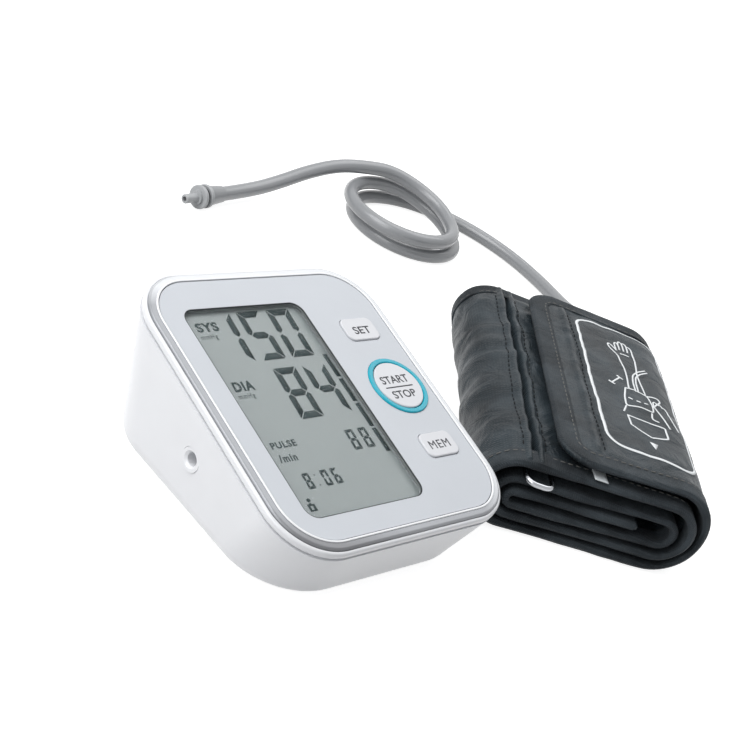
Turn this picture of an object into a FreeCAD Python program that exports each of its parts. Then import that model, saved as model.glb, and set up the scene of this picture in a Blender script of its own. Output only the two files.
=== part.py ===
import FreeCAD, Part
import math
import os

import Sketcher
from FreeCAD import Placement, Rotation, Vector

# Upper-arm blood pressure monitor: a wedge-shaped desk console, and the arm cuff that
# lies beside it with its air tube. Millimetres, +Z up. The origin is the centre of the
# console's footprint on the table; +X is the console's right, +Y its back.
#
# The console's control panel leans back by panel_tilt. Everything that belongs to the
# panel is drawn in the panel's own frame: x across, y up the panel from the lower edge
# of the faceplate, z out of the faceplate, whose surface is z = 0.

DOC = FreeCAD.newDocument("BloodPressureMonitor")
SHEET = DOC.addObject("Spreadsheet::Sheet", "Sizes")

# ---------------------------------------------------------------- driving dimensions
SIZES = [
    # the panel and the rim round it
    ("panel_tilt", 13.5, "degrees that the control panel leans back"),
    ("panel_front_y", -56.5, "row Y of the faceplate's lower edge"),
    ("panel_front_z", 30.5, "height of the faceplate's lower edge"),
    ("face_width", 100.0, "faceplate"),
    ("face_length", 110.3, "faceplate"),
    ("face_corner", 17.0, "faceplate's corner radius"),
    ("face_thick", 1.2, "faceplate"),
    ("trim_gap", 0.3, "shadow gap on each side of the trim band"),
    ("trim_width", 3.4, "trim band"),
    ("trim_round", 0.9, "rounding of the trim band's outer edge"),
    ("bead_width", 0.8, "polished bead along the trim band's inner edge"),
    ("bead_rise", 0.4, "bead above the trim band"),
    ("bead_round", 0.3, "rounding of the bead"),
    ("rim_width", 5.0, "from the faceplate's edge to the widest line of the case"),
    ("rim_drop", 4.0, "from the faceplate's surface down to the parting line"),
    ("rim_step", 0.9, "rim's top below the faceplate's surface"),
    ("rim_round", 0.9, "rounding of the rim's upper outer edge"),
    ("rim_under", 1.2, "rounding of the rim's lower outer edge, above the seam"),
    ("seam_gap", 0.4, "open seam at the parting line"),
    ("skirt_depth", 4.0, "tongue of the upper case inside the lower case"),
    ("skirt_thick", 1.6, "tongue of the upper case"),
    ("skirt_inset", 1.4, "tongue clear of the lower case's drafted walls"),
    # the lower case
    ("base_width", 101.8, "footprint"),
    ("base_length", 105.9, "footprint"),
    ("base_corner", 29.0, "footprint's corner radius"),
    ("base_round", 8.0, "rounding between the base and the walls"),
    ("case_wall", 2.2, "wall of both case halves"),
    ("foot_height", 1.0, "base above the table"),
    ("foot_radius", 4.5, "rubber foot"),
    ("foot_sunk", 0.8, "foot glued into its recess"),
    ("foot_x", 38.0, "feet, either side of the middle"),
    ("foot_y", 26.0, "feet, either side of the middle"),
    # display
    ("window_width", 55.4, "opening in the faceplate over the display"),
    ("window_length", 88.9, "opening in the faceplate over the display"),
    ("window_corner", 5.0, "opening's corner radius"),
    ("window_x", -13.7, "opening's centre, from the panel's middle"),
    ("window_y", 53.45, "opening's centre, from the faceplate's lower edge"),
    ("lens_margin", 1.2, "lens and display glass hidden behind the faceplate"),
    ("lens_thick", 0.6, "clear lens behind the faceplate"),
    ("gasket_thick", 0.3, "black foam frame between the lens and the glass"),
    ("glass_thick", 2.6, "display glass"),
    ("holder_wall", 2.0, "frame that carries the display glass"),
    ("holder_side", 6.0, "holder's ledge under the glass, at each side"),
    ("holder_end", 8.0, "holder's ledge under the glass, at each end"),
    ("fit_gap", 0.2, "general clearance between seated pieces"),
    ("strip_width", 2.0, "rubber contact strip"),
    ("strip_length", 46.0, "rubber contact strip"),
    # circuit board
    ("board_width", 83.0, "circuit board"),
    ("board_length", 98.0, "circuit board"),
    ("board_x", 0.8, "circuit board's centre"),
    ("board_y", 55.0, "circuit board's centre"),
    ("board_thick", 1.6, "circuit board"),
    ("board_depth", 8.0, "board's upper face below the faceplate's surface"),
    ("holder_screw_side", 3.0, "holder's screws, in from the window's left edge"),
    ("holder_screw_reach", 36.0, "holder's screws above and below the window's middle"),
    ("post_side", 3.7, "board posts, right of the line of the buttons"),
    ("post_reach", 45.0, "board posts above and below the round button"),
    ("post_radius", 2.7, "board post"),
    ("chip_size", 12.0, "controller chip"),
    ("chip_thick", 1.8, "controller chip"),
    ("chip_left", 20.0, "controller chip's left edge from the board's middle"),
    ("chip_up", 4.0, "controller chip's lower edge from the board's middle"),
    ("can_radius", 2.5, "capacitor"),
    ("can_height", 7.0, "capacitor"),
    ("can_pitch", 8.0, "from one capacitor to the other"),
    ("can_up", 30.0, "capacitors above the board's middle"),
    ("beeper_radius", 6.0, "beeper"),
    ("beeper_height", 5.0, "beeper"),
    ("beeper_right", 26.0, "beeper from the board's middle"),
    ("beeper_up", 34.0, "beeper above the board's middle"),
    # buttons
    ("keys_x", 34.8, "line of the buttons, from the panel's middle"),
    ("start_y", 54.9, "round button's centre"),
    ("key_pitch", 27.4, "from the round button to the small ones"),
    ("key_width", 16.8, "opening for a small button"),
    ("key_length", 10.9, "opening for a small button"),
    ("key_corner", 3.2, "opening's corner radius"),
    ("key_gap", 0.25, "gap round a button"),
    ("key_rise", 0.7, "button above the faceplate"),
    ("key_round", 0.5, "rounding of a button's top edge"),
    ("key_travel", 0.8, "how far a button presses in"),
    ("key_lip", 1.0, "lip that keeps a button in"),
    ("ring_radius", 12.8, "coloured ring round the start button"),
    ("ring_width", 2.0, "coloured ring"),
    ("ring_rise", 0.6, "coloured ring above the faceplate"),
    ("ring_round", 0.5, "rounding of the coloured ring's two edges"),
    ("dome_radius", 3.2, "rubber dome of the key mat"),
    ("mat_thick", 0.8, "key mat"),
    ("mat_width", 14.0, "key mat"),
    ("dome_play", 0.1, "between a dome and its button when the button is pressed home"),
    # screws
    ("screw_x", 45.6, "case screws, either side of the middle"),
    ("screw_front_y", -18.0, "front pair of case screws"),
    ("screw_rear_y", 36.0, "rear pair of case screws"),
    ("screw_radius", 1.35, "case screw's shank"),
    ("screw_play", 0.15, "clearance hole round a case screw, and half that in its pilot hole"),
    ("screw_bite", 5.0, "case screw's length inside the upper case's boss"),
    ("pilot_length", 7.0, "pilot hole in the upper case's boss"),
    ("screw_head_radius", 2.1, "case screw's head"),
    ("screw_head_height", 1.6, "case screw's head"),
    ("screw_seat_z", 9.0, "height of the seat under a case screw's head"),
    ("tower_top_z", 20.0, "height where the two cases' screw towers meet"),
    ("tower_radius", 3.4, "screw tower of the lower case"),
    ("boss_radius", 2.4, "screw boss of the upper case"),
    ("board_screw_radius", 0.9, "board screw's shank"),
    ("board_screw_reach", 4.0, "board screw's length under its head"),
    # battery bay, AA cells lying side by side
    ("cell_radius", 7.25, "AA cell"),
    ("cell_length", 49.5, "AA cell without its nub"),
    ("cell_nub", 1.0, "AA cell's nub"),
    ("nub_radius", 2.7, "AA cell's nub"),
    ("cell_lift", 0.35, "AA cell above the battery door"),
    ("cell_count", 4, "AA cells"),
    ("cell_pitch", 15.0, "AA cells side by side"),
    ("bay_margin", 0.2, "beside the outer cells"),
    ("bay_length", 57.0, "bay"),
    ("bay_rear_y", 48.0, "bay's rear end"),
    ("bay_top_z", 18.6, "bay's ceiling"),
    ("bay_wall", 2.4, "bay's walls"),
    ("bay_roof", 1.6, "bay's ceiling"),
    ("grip_count", 5, "grip grooves in the door"),
    ("grip_length", 25.0, "grip groove"),
    ("grip_width", 1.2, "grip groove"),
    ("grip_depth", 0.5, "grip groove"),
    ("grip_pitch", 3.0, "from one grip groove to the next"),
    ("grip_start", 4.0, "first grip groove from the bay's rear end"),
    ("door_play", 0.2, "sliding clearance of the battery door"),
    ("door_tongue", 1.2, "tongue along each side of the door"),
    ("door_tab_width", 48.0, "door's upturned end in the rear wall"),
    ("door_tab_height", 10.0, "door's upturned end above the table"),
    ("contact_thick", 0.4, "battery contact"),
    ("contact_size", 9.0, "battery contact"),
    ("spring_wide", 3.6, "battery spring's radius at its plate"),
    ("spring_slim", 2.4, "battery spring's radius at the cell"),
    ("spring_play", 0.1, "between a battery spring and its cell"),
    # pump line, which runs across the front of the case
    ("pump_y", -27.0, "axis of the pump, valve and their hoses"),
    ("pump_z", 14.0, "axis of the pump, valve and their hoses"),
    ("motor_radius", 9.4, "pump motor"),
    ("motor_length", 26.0, "pump motor"),
    ("motor_x", -37.0, "motor's outer end"),
    ("motor_nose", 1.5, "bearing hub on the motor's outer end"),
    ("sleeve_short", 2.0, "sleeve short of the motor at each end"),
    ("sleeve_thick", 0.9, "foam sleeve round the motor"),
    ("head_size", 19.0, "pump head, square"),
    ("head_length", 15.0, "pump head"),
    ("hose_radius", 2.4, "inner air hose"),
    ("port_radius", 1.5, "hose nipples"),
    ("port_length", 3.0, "hose nipples"),
    ("block_size", 8.0, "air block that joins the hoses"),
    ("block_x", 12.0, "air block's left face"),
    ("valve_radius", 5.5, "release valve"),
    ("valve_length", 15.0, "release valve"),
    ("valve_x", 26.0, "valve's left face"),
    ("sensor_radius", 4.0, "pressure sensor"),
    ("sensor_height", 4.2, "pressure sensor"),
    ("sensor_out", 13.0, "sensor in front of the pump's line"),
    ("sensor_up", 5.3, "sensor's underside above the pump's line"),
    ("hose_turn_small", 4.0, "bend radius of the inner hoses, close to the block"),
    ("hose_turn_large", 8.0, "bend radius of the long hose"),
    ("hose_z", 23.0, "height of the long hose and of the air socket"),
    # air socket in the left wall
    ("socket_y", -2.2, "air socket"),
    ("socket_proud", 0.13, "air socket's mouth out of the wall"),
    ("socket_flange", 1.6, "air socket's flange behind the wall, in thickness and in width"),
    ("socket_seat", 0.9, "flange from the inner face of the drafted wall"),
    ("socket_lead", 0.8, "flare at the mouth of the socket's bore"),
    ("socket_bore", 2.4, "socket's bore radius"),
    ("socket_radius", 4.4, "air socket"),
    ("socket_length", 17.0, "air socket"),
    ("socket_depth", 14.0, "depth of the socket's bore"),
    # cuff: one sewn band wound flat, seen from its end as a path of straight layers
    ("cuff_x", 151.0, "cuff's middle from the console's middle, X"),
    ("cuff_y", -11.0, "cuff's middle, Y"),
    ("cuff_turn", -42.0, "degrees that the cuff is turned about the vertical"),
    ("cuff_width", 100.0, "packed cuff across its layers"),
    ("cuff_tall_side", 153.0, "packed cuff along its folds, at the ring"),
    ("cuff_low_side", 137.0, "packed cuff along its folds, at the outer fold"),
    ("band_thick", 4.8, "one layer of the band"),
    ("band_gap", 0.4, "between layers"),
    ("hook_gap", 1.6, "between the flap and the layer under it"),
    ("wire_gap", 2.8, "between the layers that hold the ring"),
    ("flap_start", 28.0, "flap's edge from the packed cuff's left side"),
    ("flap_corner", 14.0, "flap's rounded corners"),
    ("core_end", 20.0, "innermost end of the band, from the packed cuff's middle"),
    ("bladder_thick", 2.0, "air bladder"),
    ("pocket_gap", 0.3, "round the bladder in its pocket, and round the spout"),
    ("hook_inset", 5.0, "hook pad from the flap's edge"),
    ("bladder_width", 100.0, "air bladder, along the folds"),
    ("bladder_start", 345.0, "bladder's edge from the flap's edge, along the band"),
    ("bladder_end", 580.0, "bladder's far edge, along the band"),
    ("hook_thick", 1.0, "hook pad under the flap"),
    ("hook_width", 34.0, "hook pad"),
    ("hook_length", 100.0, "hook pad"),
    ("wire_radius", 1.1, "metal ring"),
    ("wire_width", 13.0, "metal ring outside"),
    ("wire_over", 6.0, "metal ring past the cuff at each end"),
    ("wire_bend", 4.0, "metal ring's corner radius"),
    ("wire_from_side", 16.0, "metal ring from the packed cuff's left side"),
    ("port_tube_radius", 4.6, "spout that the air tube leaves by"),
    ("port_out", 4.0, "spout past the end of the cuff"),
    # air tube and its plug
    ("tube_radius", 3.6, "air tube"),
    ("collar_radius", 5.0, "soft collar over the tube's end"),
    ("collar_length", 10.0, "soft collar"),
    ("plug_radius", 3.4, "plug's shank"),
    ("plug_rib_radius", 5.8, "plug's ribs"),
    ("plug_rib_thick", 2.0, "plug's ribs"),
    ("plug_rib_gap", 2.2, "between the plug's ribs"),
    ("plug_rib_round", 0.5, "rounding of the plug's ribs"),
    ("plug_rib_start", 0.5, "first rib from the collar"),
    ("plug_neck", 1.5, "plug's shank past the second rib"),
    ("nozzle_lead", 0.4, "chamfer of the nozzle's tip"),
    ("collar_step", 0.5, "collar over the tube's skin at its thin end"),
    ("nozzle_radius", 2.25, "plug's nozzle"),
    ("nozzle_length", 8.0, "plug's nozzle"),
    ("nozzle_bore", 1.2, "air way through the plug"),
]


class Size:
    """A number together with the spreadsheet expression that it comes from."""

    def __init__(self, value, text):
        self.value = float(value)
        self.text = text

    def __float__(self):
        return self.value

    def _join(self, other, sign, swap=False):
        if not isinstance(other, Size):
            other = Size(other, repr(float(other)))
        left, right = (other, self) if swap else (self, other)
        value = {"+": lambda a, b: a + b,
                 "-": lambda a, b: a - b,
                 "*": lambda a, b: a * b,
                 "/": lambda a, b: a / b}[sign](left.value, right.value)
        return Size(value, "(%s %s %s)" % (left.text, sign, right.text))

    def __add__(self, other):
        return self._join(other, "+")

    def __radd__(self, other):
        return self._join(other, "+", swap=True)

    def __sub__(self, other):
        return self._join(other, "-")

    def __rsub__(self, other):
        return self._join(other, "-", swap=True)

    def __mul__(self, other):
        return self._join(other, "*")

    def __rmul__(self, other):
        return self._join(other, "*", swap=True)

    def __truediv__(self, other):
        return self._join(other, "/")

    def __neg__(self):
        return self._join(0, "-", swap=True)


class Sheet:
    """The driving dimensions by name, read from the spreadsheet."""


def fill_sheet():
    """Write the dimensions, with their notes, and give each cell its alias."""
    sizes = Sheet()
    for row, (alias, value, note) in enumerate(SIZES, start=1):
        SHEET.set("A%d" % row, note)
        SHEET.set("B%d" % row, repr(value))
        SHEET.setAlias("B%d" % row, alias)
    DOC.recompute()
    for alias, _, _ in SIZES:
        setattr(sizes, alias, Size(SHEET.get(alias), "Sizes." + alias))
    return sizes


S = fill_sheet()
ZERO = Size(0, "0.0")
PARTS = {}


# ---------------------------------------------------------------- drawing helpers
def bind(thing, name, size):
    """Tie one property of a document object to the spreadsheet."""
    if isinstance(size, Size):
        thing.setExpression(name, size.text)
    else:
        thing.setExpression(name, repr(float(size)))


def part(label, thing):
    """Name a finished sub-part; the name is its node and its file."""
    thing.Label = label
    PARTS[label] = thing
    return thing


def on_panel(thing):
    """Stand an object that was drawn in the panel's frame on the leaning panel."""
    thing.Placement = Placement(Vector(0, 0, 0), Rotation(Vector(1, 0, 0), float(S.panel_tilt)))
    bind(thing, "Placement.Base.y", S.panel_front_y)
    bind(thing, "Placement.Base.z", S.panel_front_z)
    bind(thing, "Placement.Rotation.Angle", S.panel_tilt)
    return thing


TURNS = {"z": Rotation(),
         "x": Rotation(Vector(0, 1, 0), 90),
         "-x": Rotation(Vector(0, 1, 0), -90),
         "y": Rotation(Vector(1, 0, 0), -90),
         "-y": Rotation(Vector(1, 0, 0), 90)}


def at(thing, place, way="z"):
    thing.Placement = Placement(Vector(*[float(v) for v in place]), TURNS[way])
    for axis, value in zip("xyz", place):
        bind(thing, "Placement.Base." + axis, value)
    return thing


def box(name, corner, lengths):
    """A block from its lowest corner."""
    thing = DOC.addObject("Part::Box", name)
    for prop, value in zip(("Length", "Width", "Height"), lengths):
        bind(thing, prop, value)
    return at(thing, corner)


def rod(name, radius, length, start, way="z"):
    """A cylinder from the centre of its first end, along an axis."""
    thing = DOC.addObject("Part::Cylinder", name)
    bind(thing, "Radius", radius)
    bind(thing, "Height", length)
    return at(thing, start, way)


def taper(name, radius_1, radius_2, length, start, way="z"):
    thing = DOC.addObject("Part::Cone", name)
    bind(thing, "Radius1", radius_1)
    bind(thing, "Radius2", radius_2)
    bind(thing, "Height", length)
    return at(thing, start, way)


def joined(name, things):
    whole = DOC.addObject("Part::MultiFuse", name)
    whole.Shapes = things
    return whole


def group(name, things):
    """Separate solids that share one node."""
    whole = DOC.addObject("Part::Compound", name)
    whole.Links = things
    return whole


def cut(name, base, tool):
    rest = DOC.addObject("Part::Cut", name)
    rest.Base = base
    rest.Tool = tool
    return rest


def common(name, base, tool):
    both = DOC.addObject("Part::Common", name)
    both.Base = base
    both.Tool = tool
    return both


def new_body(name):
    return DOC.addObject("PartDesign::Body", name)


def new_sketch(body, x, y, z):
    """A sketch on the body's own XY plane, moved to x, y, z."""
    flat = [f for f in body.Origin.OriginFeatures if f.Role == "XY_Plane"][0]
    sketch = body.newObject("Sketcher::SketchObject", body.Name + "_sketch")
    sketch.AttachmentSupport = [(flat, "")]
    sketch.MapMode = "FlatFace"
    for axis, value in zip("xyz", (x, y, z)):
        bind(sketch, "AttachmentOffset.Base." + axis, value)
    return sketch


def dimension(sketch, constraint, size):
    """Add one dimension to a sketch and tie it to the spreadsheet."""
    index = sketch.addConstraint(constraint)
    name = "size_%d" % index
    sketch.renameConstraint(index, name)
    bind(sketch, "Constraints." + name, size)


def draw_outline(sketch, width, length, corner):
    """A rounded rectangle centred on the sketch's origin."""
    w, l, r = float(width) / 2, float(length) / 2, float(corner)
    first = sketch.GeometryCount
    corners = [(w - r, r - l, -90), (w - r, l - r, 0), (r - w, l - r, 90), (r - w, r - l, 180)]
    sides = [((r - w, -l), (w - r, -l)), ((w, r - l), (w, l - r)),
             ((w - r, l), (r - w, l)), ((-w, l - r), (-w, r - l))]
    for start, end in sides:
        sketch.addGeometry(Part.LineSegment(Vector(*start, 0), Vector(*end, 0)))
    for x, y, angle in corners:
        circle = Part.Circle(Vector(x, y, 0), Vector(0, 0, 1), r)
        turn = math.radians(angle)
        sketch.addGeometry(Part.ArcOfCircle(circle, turn, turn + math.pi / 2))
    for i in range(4):
        side, arc, after = first + i, first + 4 + i, first + (i + 1) % 4
        sketch.addConstraint(Sketcher.Constraint("Tangent", side, 2, arc, 1))
        sketch.addConstraint(Sketcher.Constraint("Tangent", arc, 2, after, 1))
    for i in range(3):
        sketch.addConstraint(Sketcher.Constraint("Equal", first + 4, first + 5 + i))
    sketch.addConstraint(Sketcher.Constraint("Horizontal", first))
    sketch.addConstraint(Sketcher.Constraint("Horizontal", first + 2))
    sketch.addConstraint(Sketcher.Constraint("Vertical", first + 1))
    sketch.addConstraint(Sketcher.Constraint("Vertical", first + 3))
    sketch.addConstraint(Sketcher.Constraint("Symmetric", first + 7, 3, first + 5, 3, -1, 1))
    dimension(sketch, Sketcher.Constraint("Radius", first + 4, r), corner)
    dimension(sketch, Sketcher.Constraint("DistanceX", first + 3, 1, first + 1, 1, 2 * w), width)
    dimension(sketch, Sketcher.Constraint("DistanceY", first, 1, first + 2, 1, 2 * l), length)


def draw_circle(sketch, radius):
    """A circle centred on the sketch's origin."""
    index = sketch.addGeometry(Part.Circle(Vector(0, 0, 0), Vector(0, 0, 1), float(radius)))
    sketch.addConstraint(Sketcher.Constraint("Coincident", index, 3, -1, 1))
    dimension(sketch, Sketcher.Constraint("Radius", index, float(radius)), radius)


def solid(body, kind, shapes, centre, low, high):
    """Pad, or pocket, shapes about centre = (x, y) between two levels.

    A shape is (radius,) or (width, length, corner). Two shapes leave the room
    between them. A pocket starts from its upper level.
    """
    level = low if kind == "Pad" else high
    sketch = new_sketch(body, centre[0], centre[1], level)
    for shape in shapes:
        if len(shape) == 1:
            draw_circle(sketch, *shape)
        else:
            draw_outline(sketch, *shape)
    feature = body.newObject("PartDesign::" + kind, body.Name + "_" + kind.lower())
    feature.Profile = sketch
    bind(feature, "Length", high - low)
    return feature


def pad(body, shapes, centre, low, high):
    return solid(body, "Pad", shapes, centre, low, high)


def pocket(body, shapes, centre, low, high):
    return solid(body, "Pocket", shapes, centre, low, high)


def round_level(body, feature, level, radius, test=None):
    """Round every edge of a feature that lies wholly at one height."""
    DOC.recompute()
    names = []
    for number, edge in enumerate(feature.Shape.Edges, start=1):
        box_of = edge.BoundBox
        flat = abs(box_of.ZMin - float(level)) < 1e-4 and abs(box_of.ZMax - float(level)) < 1e-4
        if flat and (test is None or test(box_of)):
            names.append("Edge%d" % number)
    fillet = body.newObject("PartDesign::Fillet", body.Name + "_round")
    fillet.Base = (feature, names)
    bind(fillet, "Radius", radius)
    return fillet


# ---------------------------------------------------------------- levels in the panel
FACE_MID = S.face_length / 2
PLATE_TOP = -S.face_thick
PLATE_BOTTOM = -S.rim_drop
BOARD_TOP = -S.board_depth
BOARD_BOTTOM = BOARD_TOP - S.board_thick
KEY_PLACES = {"set_button": S.start_y + S.key_pitch, "memory_button": S.start_y - S.key_pitch}
KEY_OPENING = (S.key_width, S.key_length, S.key_corner)
RING_INNER = S.ring_radius - S.ring_width
GLASS_WIDTH = S.window_width + 2 * S.lens_margin
GLASS_LENGTH = S.window_length + 2 * S.lens_margin
WINDOW_MID = (S.window_x, S.window_y)


def grown(shape, by):
    """An outline moved outwards all round."""
    if len(shape) == 1:
        return (shape[0] + by,)
    return (shape[0] + 2 * by, shape[1] + 2 * by, shape[2] + by)


FACE = (S.face_width, S.face_length, S.face_corner)
CASE_RIM = grown(FACE, S.rim_width)
WINDOW = (S.window_width, S.window_length, S.window_corner)
GLASS = (GLASS_WIDTH, GLASS_LENGTH, S.window_corner)


# ---------------------------------------------------------------- control panel
def faceplate():
    body = new_body("faceplate_body")
    pad(body, [FACE], (ZERO, FACE_MID), PLATE_TOP, ZERO)
    pocket(body, [WINDOW], WINDOW_MID, PLATE_TOP, ZERO)
    pocket(body, [(S.ring_radius + S.fit_gap / 2,)], (S.keys_x, S.start_y), PLATE_TOP, ZERO)
    for y in KEY_PLACES.values():
        pocket(body, [KEY_OPENING], (S.keys_x, y), PLATE_TOP, ZERO)
    part("faceplate", on_panel(body))


def trim_band():
    """The silver band that frames the faceplate, with a bead along its inner edge."""
    body = new_body("trim_body")
    inner = grown(FACE, S.trim_gap)
    outer = grown(inner, S.trim_width)
    middle = (ZERO, FACE_MID)
    band = pad(body, [outer, inner], middle, PLATE_TOP, ZERO)
    side, front = float(inner[0] + S.bead_width) / 2, -float(S.trim_gap + S.bead_width)
    rear = float(S.face_length + S.trim_gap + S.bead_width)
    round_level(body, band, ZERO, S.trim_round,
                lambda b: max(b.XMax, -b.XMin) > side or b.YMin < front or b.YMax > rear)
    bead = pad(body, [grown(inner, S.bead_width), inner], middle, ZERO, S.bead_rise)
    round_level(body, bead, S.bead_rise, S.bead_round)
    part("trim_band", on_panel(body))


def display_stack():
    """Lens, foam frame and glass, one under the other behind the faceplate."""
    lens = new_body("lens_body")
    lens_bottom = PLATE_TOP - S.lens_thick
    pad(lens, [GLASS], WINDOW_MID, lens_bottom, PLATE_TOP)
    part("display_lens", on_panel(lens))
    gasket = new_body("gasket_body")
    gasket_bottom = lens_bottom - S.gasket_thick
    pad(gasket, [GLASS, WINDOW], WINDOW_MID, gasket_bottom, lens_bottom)
    part("display_gasket", on_panel(gasket))
    glass = new_body("glass_body")
    glass_bottom = gasket_bottom - S.glass_thick
    pad(glass, [GLASS], WINDOW_MID, glass_bottom, gasket_bottom)
    part("display_glass", on_panel(glass))
    return glass_bottom


def display_holder(glass_bottom):
    """Frame that carries the glass, with slots for the rubber contact strips."""
    body = new_body("holder_body")
    seat = grown(GLASS, S.fit_gap)
    pad(body, [grown(seat, S.holder_wall)], WINDOW_MID, BOARD_TOP, PLATE_BOTTOM)
    pocket(body, [seat], WINDOW_MID, glass_bottom, PLATE_BOTTOM)
    hollow = (GLASS_WIDTH - 2 * S.holder_side, GLASS_LENGTH - 2 * S.holder_end, S.window_corner)
    pocket(body, [hollow], WINDOW_MID, BOARD_TOP, glass_bottom)
    strips = []
    for side in (-1, 1):
        y = S.window_y + side * (GLASS_LENGTH - S.holder_end) / 2
        slot = (S.strip_length + 2 * S.fit_gap, S.strip_width + 2 * S.fit_gap, S.fit_gap)
        pocket(body, [slot], (S.window_x, y), BOARD_TOP, glass_bottom)
        strip = box("strip", (S.window_x - S.strip_length / 2, y - S.strip_width / 2, BOARD_TOP),
                    (S.strip_length, S.strip_width, glass_bottom - BOARD_TOP))
        strips.append(strip)
    for x, y in BOARD_SCREWS[:2]:
        pocket(body, [(S.board_screw_radius + S.fit_gap,)], (x, y), BOARD_TOP, glass_bottom)
    on_panel(body)
    clear = [rod("boss_room", S.boss_radius + S.fit_gap, S.panel_front_z, (x, y, S.tower_top_z))
             for x, y in CASE_SCREWS]
    part("display_holder", cut("holder", body, joined("boss_rooms", clear)))
    part("contact_strips", on_panel(group("strips", strips)))


HOLDER_SCREW_X = S.window_x - S.window_width / 2 + S.holder_screw_side
BOARD_SCREWS = [(HOLDER_SCREW_X, S.window_y - S.holder_screw_reach),
                (HOLDER_SCREW_X, S.window_y + S.holder_screw_reach),
                (S.keys_x + S.post_side, S.start_y - S.post_reach),
                (S.keys_x + S.post_side, S.start_y + S.post_reach)]
CASE_SCREWS = [(side * S.screw_x, y) for side in (-1, 1) for y in (S.screw_front_y, S.screw_rear_y)]


def circuit_board():
    body = new_body("board_body")
    board = (S.board_width, S.board_length, S.board_thick)
    pad(body, [board], (S.board_x, S.board_y), BOARD_BOTTOM, BOARD_TOP)
    for x, y in BOARD_SCREWS:
        pocket(body, [(S.board_screw_radius + S.fit_gap,)], (x, y), BOARD_BOTTOM, BOARD_TOP)
    part("circuit_board", on_panel(body))
    screws = []
    for x, y in BOARD_SCREWS:
        reach = S.board_screw_reach
        shank = rod("board_shank", S.board_screw_radius, reach, (x, y, BOARD_BOTTOM))
        head = rod("board_head", 2 * S.board_screw_radius, S.board_screw_radius,
                   (x, y, BOARD_BOTTOM - S.board_screw_radius))
        screws.append(joined("board_screw", [shank, head]))
    part("board_screws", on_panel(group("board_screw_set", screws)))


def board_parts():
    """What is soldered under the board: controller, capacitors and beeper."""
    chip = box("chip", (S.board_x - S.chip_left, S.board_y + S.chip_up, BOARD_BOTTOM - S.chip_thick),
               (S.chip_size, S.chip_size, S.chip_thick))
    part("controller_chip", on_panel(group("chips", [chip])))
    cans = [rod("capacitor", S.can_radius, S.can_height,
                (S.board_x + x, S.board_y + S.can_up, BOARD_BOTTOM - S.can_height))
            for x in (-S.can_pitch / 2, S.can_pitch / 2)]
    part("capacitors", on_panel(group("cans", cans)))
    beeper = rod("beeper_can", S.beeper_radius, S.beeper_height,
                 (S.board_x + S.beeper_right, S.board_y + S.beeper_up, BOARD_BOTTOM - S.beeper_height))
    part("beeper", on_panel(group("beepers", [beeper])))


def key_mat():
    """One rubber mat with a dome under each button."""
    body = new_body("mat_body")
    mat_top = BOARD_TOP + S.mat_thick
    dome_top = PLATE_BOTTOM - S.fit_gap - S.key_lip - S.key_travel - S.dome_play
    mat = (S.mat_width, 2 * S.key_pitch + S.mat_width, S.key_corner)
    pad(body, [mat], (S.keys_x, S.start_y), BOARD_TOP, mat_top)
    for y in (S.start_y - S.key_pitch, S.start_y, S.start_y + S.key_pitch):
        pad(body, [(S.dome_radius,)], (S.keys_x, y), mat_top, dome_top)
    part("key_mat", on_panel(body))


def button(label, shape, place):
    """A cap that stands out of the faceplate, with a lip below to keep it in."""
    body = new_body(label + "_body")
    lip_top = PLATE_BOTTOM - S.fit_gap
    cap = pad(body, [grown(shape, -S.key_gap)], place, lip_top - S.key_lip, S.key_rise)
    lip = grown(shape, S.key_lip - S.key_gap)
    pad(body, [lip], place, lip_top - S.key_lip, lip_top)
    DOC.recompute()
    round_level(body, body.Tip, S.key_rise, S.key_round)
    part(label, on_panel(body))


def buttons():
    for label, y in KEY_PLACES.items():
        button(label, KEY_OPENING, (S.keys_x, y))
    button("start_stop_button", (RING_INNER,), (S.keys_x, S.start_y))


def start_ring():
    body = new_body("ring_body")
    place = (S.keys_x, S.start_y)
    ring = pad(body, [(S.ring_radius,), (RING_INNER,)], place, PLATE_TOP, S.ring_rise)
    round_level(body, ring, S.ring_rise, S.ring_round)
    part("start_ring", on_panel(body))


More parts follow.
